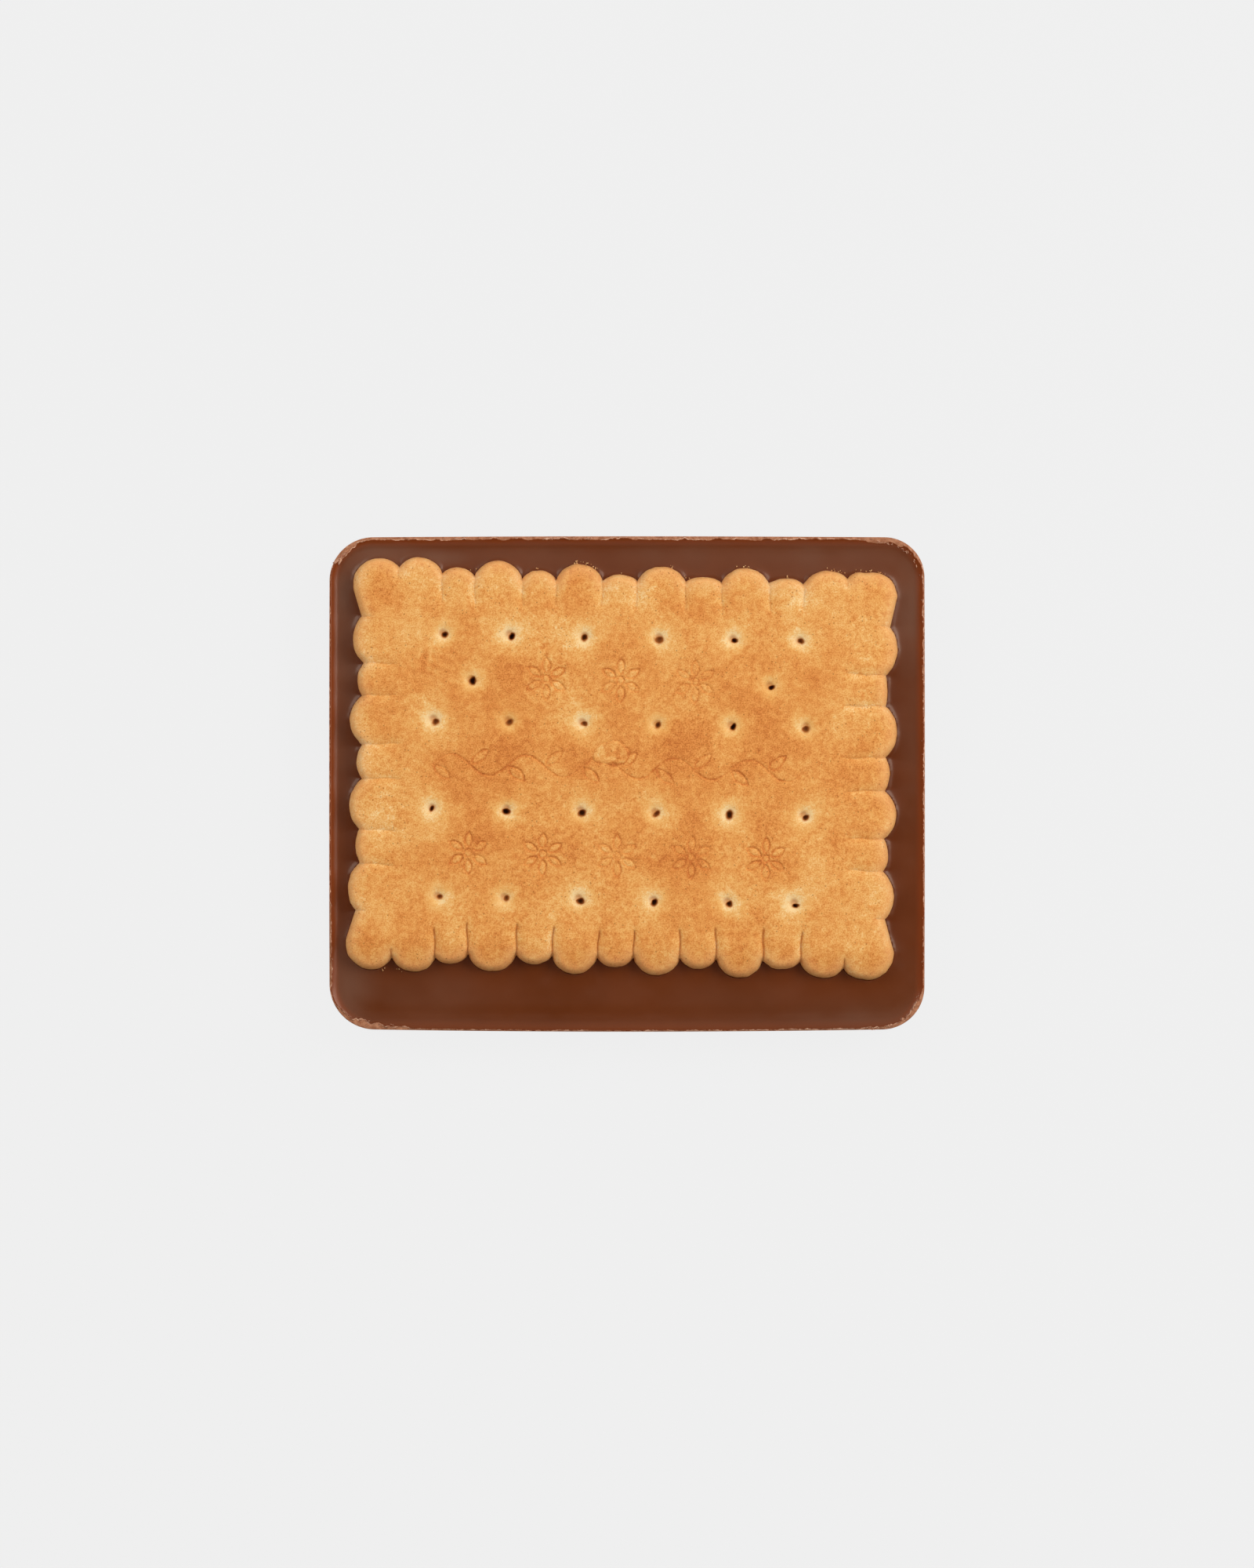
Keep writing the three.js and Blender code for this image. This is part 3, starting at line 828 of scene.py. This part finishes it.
TOP_NET_INSET = 0.25  # the net of the top ends here; rings carry on over the edge
UPPER_RINGS = [0.15, 0.07, 0.02, 0.0]  # insets
LOWER_RINGS = [(0.0, 2.1), (0.0, 1.3), (0.25, 0.4), (0.75, 0.0)]  # (inset, height)


def biscuit_field(points):
    return outline_distance(points, BISCUIT_OUTLINE) + TOP_NET_INSET


def needs_fine(points):
    _, _, painted_shade = crease_relief(points)
    _, prick, _ = prick_relief(points)
    line, _ = pressed_relief(points)
    detailed = (painted_shade > 0) | (prick < 0.95) | (line < 0.26)
    return detailed | (roughness(points) > 0.2) | (blister_reach(points) < 1.2)


def build_biscuit():
    reach = np.abs(BISCUIT_OUTLINE).max(0) + 2 * NET_STEP
    net = Net(-reach, reach, NET_STEP, biscuit_field, needs_fine)
    loop = max(net.loops(), key=len)
    edge = net.points[loop]
    out = outward(edge, BISCUIT_OUTLINE)
    tops, looks = [], []
    for places in [net.points] + [edge + out * (TOP_NET_INSET - inset) for inset in UPPER_RINGS]:
        surface = biscuit_surface(places)
        tops.append(raised(places, surface["height"]))
        looks.append([browning(places, surface), surface["painted_shade"], hump(surface["prick"], 1.3),
                      fade(0.1, 1.9, surface["inset"])])
    rings = tops[1:]
    for inset, height in LOWER_RINGS:
        rings.append(raised(edge + out * (TOP_NET_INSET - inset), height))
        looks.append(looks[-1])
    faces = net.faces
    points = add_rings(tops[0], faces, loop, rings)
    points[:, :2] = from_biscuit(points[:, :2])
    points[:, 2] += BISCUIT_BASE
    labels = ("browning", "painted_shade", "smooth", "edge")
    attributes = {label: np.concatenate([look[k] for look in looks]) for k, label in enumerate(labels)}
    return make_object("baked_biscuit", points, faces, attributes)


# ---- The chocolate's mesh ----

CREEP = 0.05  # the chocolate's net ends this far inside the biscuit's outline
CLIMB = 0.15  # how high the chocolate climbs the biscuit's sides
NOTCH_CLIMB = 0.13  # and how much higher at the notches, where it is drawn in
SWELL = 0.12  # the broad swell of the set surface towards the biscuit
LOWER_SWELL = 0.14  # how much more it swells along the biscuit's lower side, which it doesn't climb
LOWER_RISE = 0.25  # how much higher the set surface is at the slab's lower side
CHANNEL = {"depth": 0.04, "inset": 1.9, "width": 0.7}  # along the foot of the lip
BED_WALL = [3.4, 2.4, BISCUIT_BASE - 0.02]  # heights
LIP_RINGS = [0.2, 0.13, 0.07]  # insets
LIP_ROUND = 0.04  # how far the lip has rounded off at its outer edge
# Stretches where the lip is worn down or broken off: from, to, and how wide the worn band is.
WORN = [
    ((-31.3, 24.8), (-30.2, 26), 0.6),
    ((-29.2, 26.7), (-28.4, 26.8), 0.35),
    ((-28, 27), (26, 27), 0.33),
    ((26.8, 26.9), (29.6, 26.3), 0.7),
    ((30.2, 26), (31.6, 24.6), 0.35),
    ((32.3, 22.5), (32.5, 8), 0.2),
    ((32.5, 3.5), (32.5, -22), 0.15),
    ((32.1, -23), (31.2, -25), 0.5),
    ((31, -25.2), (30, -26.1), 0.6),
    ((29.6, -26.4), (26.2, -26.8), 0.35),
    ((26, -27), (-24, -27), 0.16),
    ((-24.2, -26.8), (-26.2, -26.6), 0.4),
    ((-27.3, -26.4), (-29.2, -26), 0.75),
    ((-29.8, -25.7), (-31.4, -24.7), 0.38),
    ((-32.5, -13.5), (-32.4, -21.5), 0.25),
]
WORN_LEAST = 0.1
WORN_LEVEL = 0.32  # above the set surface


def slab_distance(points):
    return outline_distance(points, SLAB_OUTLINE)


def biscuit_distance(points):
    return outline_distance(to_biscuit(points), BISCUIT_OUTLINE)


def notch_distance(points):
    own = to_biscuit(points)
    return np.min([lengths(own - notch["at"]) for notch in NOTCHES], axis=0)


def chocolate_field(points):
    return np.maximum(slab_distance(points) + LIP_NET_INSET, -biscuit_distance(points) - CREEP)


def worn_width(points):
    width = np.full(len(points), WORN_LEAST)
    for start, end, amount in WORN:
        away, _ = segments_distance(points, np.array([start]), np.array([end]))
        width = np.maximum(width, amount * hump(away, 0.8, 4))
    return width


def worn_reach(points):
    """How far each point lies inside the worn band of the lip, or, if negative, outside it."""
    ragged = 0.35 * noise(points, 0.9, 91) + 0.25 * noise(points, 0.35, 92)
    return worn_width(points) * (1 + ragged) + slab_distance(points)


def needs_fine_lip(points):
    return -slab_distance(points) < worn_width(points) + 0.35


def chocolate_height(points):
    inset = -slab_distance(points)
    gap = np.maximum(biscuit_distance(points), 0)
    lower_side = smoothstep(-18, -21.5, to_biscuit(points)[:, 1])
    climb = CLIMB + NOTCH_CLIMB * hump(notch_distance(points), 1.2) + 0.05 * noise(points, 1.6, 74)
    climb *= (1 - lower_side) * np.exp(-gap / 0.3)
    swell = (SWELL + LOWER_SWELL * lower_side) * np.exp(-gap / 1.3)
    wave = 0.02 * noise(points, 3.5, 71) + 0.012 * noise(points, 1.3, 72)
    level = CHOCOLATE_LEVEL + LOWER_RISE * smoothstep(-18, -25.5, points[:, 1])
    t = np.clip((inset - LIP_CREST) / LIP_WIDTH, 0, 1)
    lip = (RIM_HEIGHT - level) * (1 - t) ** 2
    channel = CHANNEL["depth"] * hump(inset - CHANNEL["inset"], CHANNEL["width"])
    height = level + lip - channel + climb + swell + wave * smoothstep(0.5, 1.5, inset)
    reach = worn_reach(points)
    broken = CHOCOLATE_LEVEL + WORN_LEVEL + 0.05 * rough_noise(points, 0.35, 95)
    height += smoothstep(0, 0.12, reach) * np.minimum(broken - height, 0)
    return height + 0.05 * smoothstep(0.25, 0.5, worn_width(points)) * hump(reach, 0.07)


# Painted reflection: where the lamps are mirrored as a pale sheen on the chocolate: middle, radii, strength.
PAINTED_REFLECTIONS = [
    ((-28, 25.5), (9, 4), 0.7),
    ((-21.5, 24.8), (4, 1), 1),
    ((-12, 25.5), (12, 3.5), 0.3),
    ((6, 25.5), (10, 3.5), 0.35),
    ((22, 25.5), (12, 4), 0.5),
    ((31, 19), (2, 7), 0.85),
    ((31.5, 6), (1.5, 9), 0.3),
    ((-31.2, 20.5), (1.5, 3.5), 1),
    ((-31, 15), (2.5, 9), 0.55),
    ((-31, 4), (2.5, 8), 0.35),
    ((-30.5, -21), (3, 4.5), 0.8),
    ((-22, -23), (6, 3), 0.25),
    ((25, -25.5), (8, 1.8), 0.45),
    ((13, -24.5), (8, 2.5), 0.15),
]


def painted_reflection(points):
    total = np.zeros(len(points))
    for place, radii, strength in PAINTED_REFLECTIONS:
        total = np.maximum(total, strength * hump(lengths((points - place) / radii), 1))
    return total * (0.85 + 0.25 * noise(points, 2.5, 97))


def build_chocolate():
    reach = np.array([SLAB_LENGTH, SLAB_WIDTH]) / 2
    net = Net(-reach, reach, CHOCOLATE_STEP, chocolate_field, needs_fine_lip)
    points = raised(net.points, chocolate_height(net.points))
    faces = net.faces
    for loop in sorted(net.loops(), key=len, reverse=True)[:2]:
        edge = net.points[loop]
        is_outer = np.abs(slab_distance(edge) + LIP_NET_INSET).max() < 0.1
        rings = []
        if is_outer:
            out = outward(edge, SLAB_OUTLINE)
            for inset in LIP_RINGS:
                places = edge + out * (LIP_NET_INSET - inset)
                height = chocolate_height(places) - LIP_ROUND * (1 - inset / LIP_CREST) ** 2
                rings.append(raised(places, height))
            for inset, level in WALL:
                height = np.minimum(level, height - 0.02)
                rings.append(raised(edge + out * (LIP_NET_INSET - inset), height))
        else:
            rings = [raised(edge, level) for level in BED_WALL]
        points = add_rings(points, faces, loop, rings)
    flat, below = points[:, :2], RIM_HEIGHT - points[:, 2]
    # Painted light: the lip's thin chocolate gets a reddish glow, as if light shone through it; less of it
    # along the slab's lower side.
    lip = fade(0.4, 1.2, -slab_distance(flat)) * fade(0.5, 1.1, below)
    attributes = {
        "lip": lip * (1 - 0.7 * smoothstep(-24, -26.3, flat[:, 1])),
        "worn": worn_reach(flat) - 2 * np.maximum(below - 0.3, 0),
        "painted_reflection": painted_reflection(flat) * fade(1, 2, below),
    }
    return make_object("set_chocolate", points, faces, attributes)


# ---- Loose bits: flakes along the chipped lip, and crumbs of the biscuit on the chocolate ----


def add_chip(points, faces, middle, angle, size, tilt, draw):
    """Adds a thin ragged plate, with its size as (length, width, thickness)."""
    count = 8
    turns = np.arange(count) * 2 * math.pi / count + draw.uniform(-0.25, 0.25, count)
    radii = draw.uniform(0.6, 1.0, count)
    u = np.cos(turns) * radii * size[0] / 2
    v = np.sin(turns) * radii * size[1] / 2
    flat = turned(np.stack([u, v], 1), angle)
    z = u * tilt[0] + v * tilt[1] + draw.uniform(-0.02, 0.02, count)
    low = [len(points) + k for k in range(count)]
    high = [k + count for k in low]
    for shrink, level in ((1.0, -0.5), (0.85, 0.5)):
        points += list(np.column_stack([flat * shrink, z + level * size[2]]) + middle)
    faces += [low[::-1], high]
    faces += [list(side) for side in zip(low, shifted(low), shifted(high), high)]


# Where flakes cling to the worn band: from, to, how many, and their shortest and longest length.
FLAKES = [
    ((-31.9, 24.1), (-30.4, 25.8), 5, 0.8, 1.6),
    ((-29.5, 26.4), (-28.5, 26.6), 3, 0.3, 0.6),
    ((-20.6, 26.85), (-17, 26.85), 7, 0.2, 0.6),
    ((-9.4, 26.85), (-3.4, 26.85), 12, 0.2, 0.7),
    ((4, 26.9), (22, 26.9), 12, 0.2, 0.4),
    ((26.5, 26.7), (29.5, 26.2), 8, 0.3, 0.6),
    ((29.6, 26), (31, 25.2), 12, 0.2, 0.45),
    ((31.3, 24.6), (32.2, 22.4), 7, 0.2, 0.5),
    ((32.35, 22), (32.4, -20), 45, 0.12, 0.4),
    ((31.8, -23.2), (31.1, -25), 9, 0.3, 0.8),
    ((30.8, -25.4), (30.2, -26), 5, 0.3, 0.5),
    ((29.2, -26.5), (26.3, -26.75), 16, 0.25, 0.55),
    ((-28, -26.1), (-24.6, -26.6), 9, 0.3, 0.9),
    ((-29.4, -25.8), (-28.2, -26), 5, 0.3, 0.6),
    ((-32.4, -13.6), (-32.3, -21.4), 10, 0.12, 0.3),
]


def build_flakes():
    draw = np.random.default_rng(7)
    points, faces = [], []
    for start, end, count, shortest, longest in FLAKES:
        start, end = np.array(start), np.array(end)
        along = end - start
        for _ in range(count):
            place = start + along * draw.uniform(0, 1) + draw.normal(0, 0.07, 2)
            angle = math.atan2(along[1], along[0]) + draw.normal(0, 0.3)
            length = shortest + (longest - shortest) * draw.uniform(0, 1) ** 2
            size = (length, max(0.08, length * draw.uniform(0.18, 0.4)), draw.uniform(0.04, 0.08))
            height = chocolate_height(place[None])[0] + 0.02
            add_chip(points, faces, (*place, height), angle, size, draw.normal(0, 0.12, 2), draw)
    return make_object("rim_flakes", np.array(points), faces)


CRUMB_SHAPE = np.array([1, 0.8, 0.7])
# Where crumbs lie on the chocolate beside the biscuit: middle, spread, count.
CRUMB_SPOTS = [
    ((-16.8, 23.4), 0.3, 3), ((-5.7, 24.5), 0.5, 5), ((-4.3, 24.5), 0.5, 6), ((-3.4, 23.9), 0.5, 6),
    ((5.2, 24.2), 0.3, 3), ((6.6, 22.9), 0.3, 4), ((13.3, 24), 1, 6), ((17.5, 23.5), 0.4, 3),
    ((23.4, 24), 1.6, 12), ((26.6, 23.9), 1.8, 14), ((-0.7, 23.2), 0.3, 2), ((-11, 23), 2.5, 4),
    ((-26, -21.5), 1.2, 6),
]


def beside_biscuit(place, gap):
    """The place at the given distance from the biscuit that is nearest to a place outside it."""
    own = to_biscuit(place[None])
    distance, nearest = nearest_on(own, BISCUIT_OUTLINE)
    return from_biscuit(nearest + (own - nearest) / distance[:, None] * gap)[0]


def build_crumbs():
    draw = np.random.default_rng(8)
    points, faces = [], []
    for middle, spread, count in CRUMB_SPOTS:
        for _ in range(count):
            place = np.array(middle) + draw.normal(0, spread / 2, 2)
            gap = draw.uniform(0.02, 0.3)
            size = draw.uniform(0.1, 0.26)
            if biscuit_distance(place[None])[0] > 0.05:
                place = beside_biscuit(place, gap)
                height = chocolate_height(place[None])[0] + 0.2 * size
                angle = draw.uniform(0, 6)
                tilt = draw.normal(0, 0.2, 2)
                add_chip(points, faces, (*place, height), angle, size * CRUMB_SHAPE, tilt, draw)
    return make_object("biscuit_crumbs", points, faces)


# ---- Materials ----


def new_material(name):
    material = bpy.data.materials.new(name)
    material.use_nodes = True
    tree = material.node_tree
    tree.nodes.clear()
    return material, tree


def add_node(tree, kind, inputs=None, **settings):
    """A node with its settings, and its inputs linked to sockets or set to values."""
    node = tree.nodes.new("ShaderNode" + kind)
    for label, value in settings.items():
        setattr(node, label, value)
    for label, value in (inputs or {}).items():
        socket = node.inputs[label]
        if isinstance(value, bpy.types.NodeSocket):
            tree.links.new(value, socket)
        else:
            socket.default_value = value
    return node


def maths(tree, operation, a, b=0.0):
    return add_node(tree, "Math", {0: a, 1: b}, operation=operation).outputs[0]


def map_range(tree, value, from_low, from_high, to_low=0.0, to_high=1.0):
    inputs = {"Value": value, "From Min": from_low, "From Max": from_high}
    inputs |= {"To Min": to_low, "To Max": to_high}
    return add_node(tree, "MapRange", inputs).outputs[0]


def attribute(tree, name):
    return add_node(tree, "Attribute", attribute_name=name).outputs["Fac"]


def linear(*screen):
    """A colour for a socket from 0-255 screen values."""
    parts = [value / 255 for value in screen]
    return (*(p / 12.92 if p <= 0.04045 else ((p + 0.055) / 1.055) ** 2.4 for p in parts), 1)


def ramp(tree, value, stops):
    node = add_node(tree, "ValToRGB", {"Fac": value})
    elements = node.color_ramp.elements
    while len(elements) < len(stops):
        elements.new(0.5)
    for element, (place, colour) in zip(elements, stops):
        element.position = place
        element.color = linear(*colour)
    return node.outputs["Color"]


def mix_colour(tree, factor, one, other):
    inputs = {0: factor, 6: one, 7: other}
    return add_node(tree, "Mix", inputs, data_type="RGBA").outputs[2]


def noise_node(tree, place, size, detail=2.0, rough=0.5):
    """Noise whose features are about size millimetres wide."""
    inputs = {"Vector": place, "Scale": 1 / (size * MM), "Detail": detail, "Roughness": rough}
    return add_node(tree, "TexNoise", inputs).outputs["Fac"]


def finish_material(tree, inputs):
    shader = add_node(tree, "BsdfPrincipled", inputs)
    add_node(tree, "OutputMaterial", {"Surface": shader.outputs[0]})


def biscuit_material():
    material, tree = new_material("baked_crust")
    place = add_node(tree, "TexCoord").outputs["Object"]
    brown = attribute(tree, "browning")
    # The pale rings round the pricks are smooth, and the rest is grainy, with fine browner specks.
    grainy = map_range(tree, attribute(tree, "smooth"), 0.0, 1.0, 1.0, 0.3)
    mottle = noise_node(tree, place, 0.7, 3.0, 0.6)
    grain = noise_node(tree, place, 0.15, 2.0, 0.6)
    mottled = maths(tree, "MULTIPLY", maths(tree, "SUBTRACT", mottle, 0.5), 0.85)
    grained = map_range(tree, grain, 0.4, 0.8, -0.14, 0.5)
    brown = maths(tree, "ADD", brown, maths(tree, "MULTIPLY", maths(tree, "ADD", mottled, grained), grainy))
    colour = ramp(tree, brown, [
        (0.0, (248, 212, 154)),
        (0.2, (242, 187, 111)),
        (0.45, (234, 163, 84)),
        (0.7, (222, 139, 64)),
        (1.0, (196, 108, 44)),
    ])
    at_edge = maths(tree, "MULTIPLY", attribute(tree, "edge"), 0.45)
    colour = mix_colour(tree, at_edge, colour, linear(236, 172, 112))
    # Small brown pits, thick in some places and thin in others.
    pits = add_node(tree, "TexVoronoi", {"Vector": place, "Scale": 1 / (0.45 * MM)})
    draw = add_node(tree, "SeparateColor", {"Color": pits.outputs["Color"]}).outputs[0]
    thick = map_range(tree, noise_node(tree, place, 2.5, 2.0), 0.4, 0.65, 0.1, 0.5)
    pit = map_range(tree, pits.outputs["Distance"], 0.08, 0.24, 1.0, 0.0)
    pit = maths(tree, "MULTIPLY", maths(tree, "MULTIPLY", pit, maths(tree, "LESS_THAN", draw, thick)), grainy)
    colour = mix_colour(tree, maths(tree, "MULTIPLY", pit, 0.75), colour, linear(160, 84, 26))
    # Painted shade in the holes and cuts: golden brown at their edges and near black within.
    painted_shade = attribute(tree, "painted_shade")
    colour = mix_colour(tree, map_range(tree, painted_shade, 0.0, 0.5), colour, linear(190, 110, 42))
    colour = mix_colour(tree, map_range(tree, painted_shade, 0.35, 1.0), colour, linear(78, 33, 7))
    height = maths(tree, "ADD", maths(tree, "MULTIPLY", mottle, 0.8), maths(tree, "MULTIPLY", grain, 0.6))
    bump = add_node(tree, "Bump", {"Height": height, "Strength": 0.6, "Distance": 0.06 * MM})
    finish_material(tree, {
        "Base Color": colour, "Roughness": 0.78, "Normal": bump.outputs[0], "Specular IOR Level": 0.25,
        "Subsurface Weight": 0.12, "Subsurface Radius": (1.0, 0.6, 0.3), "Subsurface Scale": 0.5 * MM,
    })
    return material


def chocolate_material():
    material, tree = new_material("milk_chocolate")
    place = add_node(tree, "TexCoord").outputs["Object"]
    cloud = noise_node(tree, place, 7.0, 3.0)
    colour = ramp(tree, cloud, [(0.3, (96, 42, 9)), (0.7, (104, 48, 17))])
    # Painted reflection: a pale greyish sheen mixed into the colour where the lamps are mirrored.
    colour = mix_colour(tree, attribute(tree, "painted_reflection"), colour, linear(112, 73, 54))
    # Painted light: a reddish glow on the thin lip, where light would shine through it.
    colour = mix_colour(tree, attribute(tree, "lip"), colour, linear(126, 57, 22))
    # The worn band is pale and rough, with bright flecks along its ragged inner edge: pale crumbs whose
    # brightness is partly a painted glint.
    scuff = noise_node(tree, place, 0.35, 3.0, 0.7)
    ragged = maths(tree, "MULTIPLY", maths(tree, "SUBTRACT", scuff, 0.5), 0.3)
    reach = maths(tree, "ADD", attribute(tree, "worn"), ragged)
    worn = map_range(tree, reach, -0.02, 0.03)
    patchy = noise_node(tree, place, 0.5, 3.0, 0.7)
    pale = ramp(tree, patchy, [(0.35, (152, 94, 62)), (0.65, (196, 138, 104))])
    colour = mix_colour(tree, maths(tree, "MULTIPLY", worn, 0.85), colour, pale)
    off_edge = maths(tree, "ABSOLUTE", maths(tree, "SUBTRACT", reach, 0.03))
    glinting_fleck = maths(tree, "MULTIPLY", map_range(tree, off_edge, 0.02, 0.07, 1.0, 0.0),
                  map_range(tree, noise_node(tree, place, 0.8, 3.0, 0.6), 0.48, 0.6))
    colour = mix_colour(tree, glinting_fleck, colour, linear(220, 172, 142))
    fine = noise_node(tree, place, 0.3, 3.0)
    bump = add_node(tree, "Bump", {"Height": fine, "Strength": 0.08, "Distance": 0.05 * MM})
    finish_material(tree, {
        "Base Color": colour, "Roughness": map_range(tree, worn, 0.0, 1.0, 0.27, 0.65),
        "Normal": bump.outputs[0], "Specular IOR Level": 0.3, "Specular Tint": (1.0, 0.84, 0.7, 1.0),
        "Subsurface Weight": 0.06, "Subsurface Radius": (1.0, 0.5, 0.3), "Subsurface Scale": 0.5 * MM,
    })
    return material


def bit_material(name, light, shade):
    material, tree = new_material(name)
    place = add_node(tree, "TexCoord").outputs["Object"]
    colour = ramp(tree, noise_node(tree, place, 0.6), [(0.35, shade), (0.65, light)])
    finish_material(tree, {"Base Color": colour, "Roughness": 0.7, "Specular IOR Level": 0.3})
    return material


def floor_material():
    material, tree = new_material("pale_floor")
    finish_material(tree, {
        "Base Color": linear(45, 45, 45), "Roughness": 1.0, "Specular IOR Level": 0.0,
        "Emission Color": (1, 1, 1, 1), "Emission Strength": 0.84,
    })
    return material


# ---- Pieces ----

biscuit = build_biscuit()
biscuit.data.materials.append(biscuit_material())
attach(biscuit, "root")
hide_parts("biscuit")

chocolate = build_chocolate()
chocolate.data.materials.append(chocolate_material())
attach(chocolate, "root")
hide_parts("chocolate_slab")

flakes = build_flakes()
flakes.data.materials.append(bit_material("chocolate_flake", (212, 162, 130), (160, 100, 72)))
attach(flakes, "root")

crumbs = build_crumbs()
crumbs.data.materials.append(bit_material("biscuit_crumb", (236, 192, 134), (198, 138, 84)))
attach(crumbs, "root")


# ---- Floor, light and camera ----

FLOOR_SIZE = 3.0
PICTURE_WIDTH = 1600 / 760.5 * SLAB_LENGTH * MM  # what the picture's width spans at the lip
LENS = 100.0
SENSOR = 24.0


def add_floor():
    mesh = bpy.data.meshes.new("floor")
    half = FLOOR_SIZE / 2
    corners = [(-half, -half, 0), (half, -half, 0), (half, half, 0), (-half, half, 0)]
    mesh.from_pydata(corners, [], [(0, 1, 2, 3)])
    mesh.materials.append(floor_material())
    floor = bpy.data.objects.new("floor", mesh)
    floor.location.z = -0.02 * MM
    bpy.context.scene.collection.objects.link(floor)


def add_area_light(name, place, size, power):
    """A soft rectangular light that faces the origin."""
    data = bpy.data.lights.new(name, "AREA")
    data.shape = "RECTANGLE"
    data.size, data.size_y = size
    data.energy = power
    light = bpy.data.objects.new(name, data)
    light.location = place
    x, y, z = place
    light.rotation_euler = (math.atan2(math.hypot(x, y), z), 0, math.atan2(y, x) + math.pi / 2)
    bpy.context.scene.collection.objects.link(light)


def add_camera():
    data = bpy.data.cameras.new("camera")
    data.sensor_fit = "HORIZONTAL"
    data.sensor_width = SENSOR
    data.lens = LENS
    camera = bpy.data.objects.new("camera", data)
    camera.location = (0, 0, RIM_HEIGHT * MM + PICTURE_WIDTH * LENS / SENSOR)
    bpy.context.scene.collection.objects.link(camera)
    bpy.context.scene.camera = camera


def set_world():
    world = bpy.data.worlds.new("studio")
    world.use_nodes = True
    background = world.node_tree.nodes["Background"]
    background.inputs["Color"].default_value = (1, 1, 1, 1)
    background.inputs["Strength"].default_value = 0.15
    bpy.context.scene.world = world


add_floor()
add_area_light("right", (0.44, 0.24, 0.42), (0.42, 0.3), 2.4)
add_area_light("side", (0.5, -0.02, 0.42), (0.3, 0.3), 0.45)
add_area_light("left", (-0.43, 0.29, 0.4), (0.35, 0.3), 1.35)
add_area_light("overhead", (0.0, 0.25, 0.62), (0.9, 0.54), 1.05)
add_area_light("front", (0.0, -0.5, 0.4), (1.0, 0.5), 0.75)
set_world()
add_camera()
bpy.context.scene.view_settings.view_transform = "Standard"
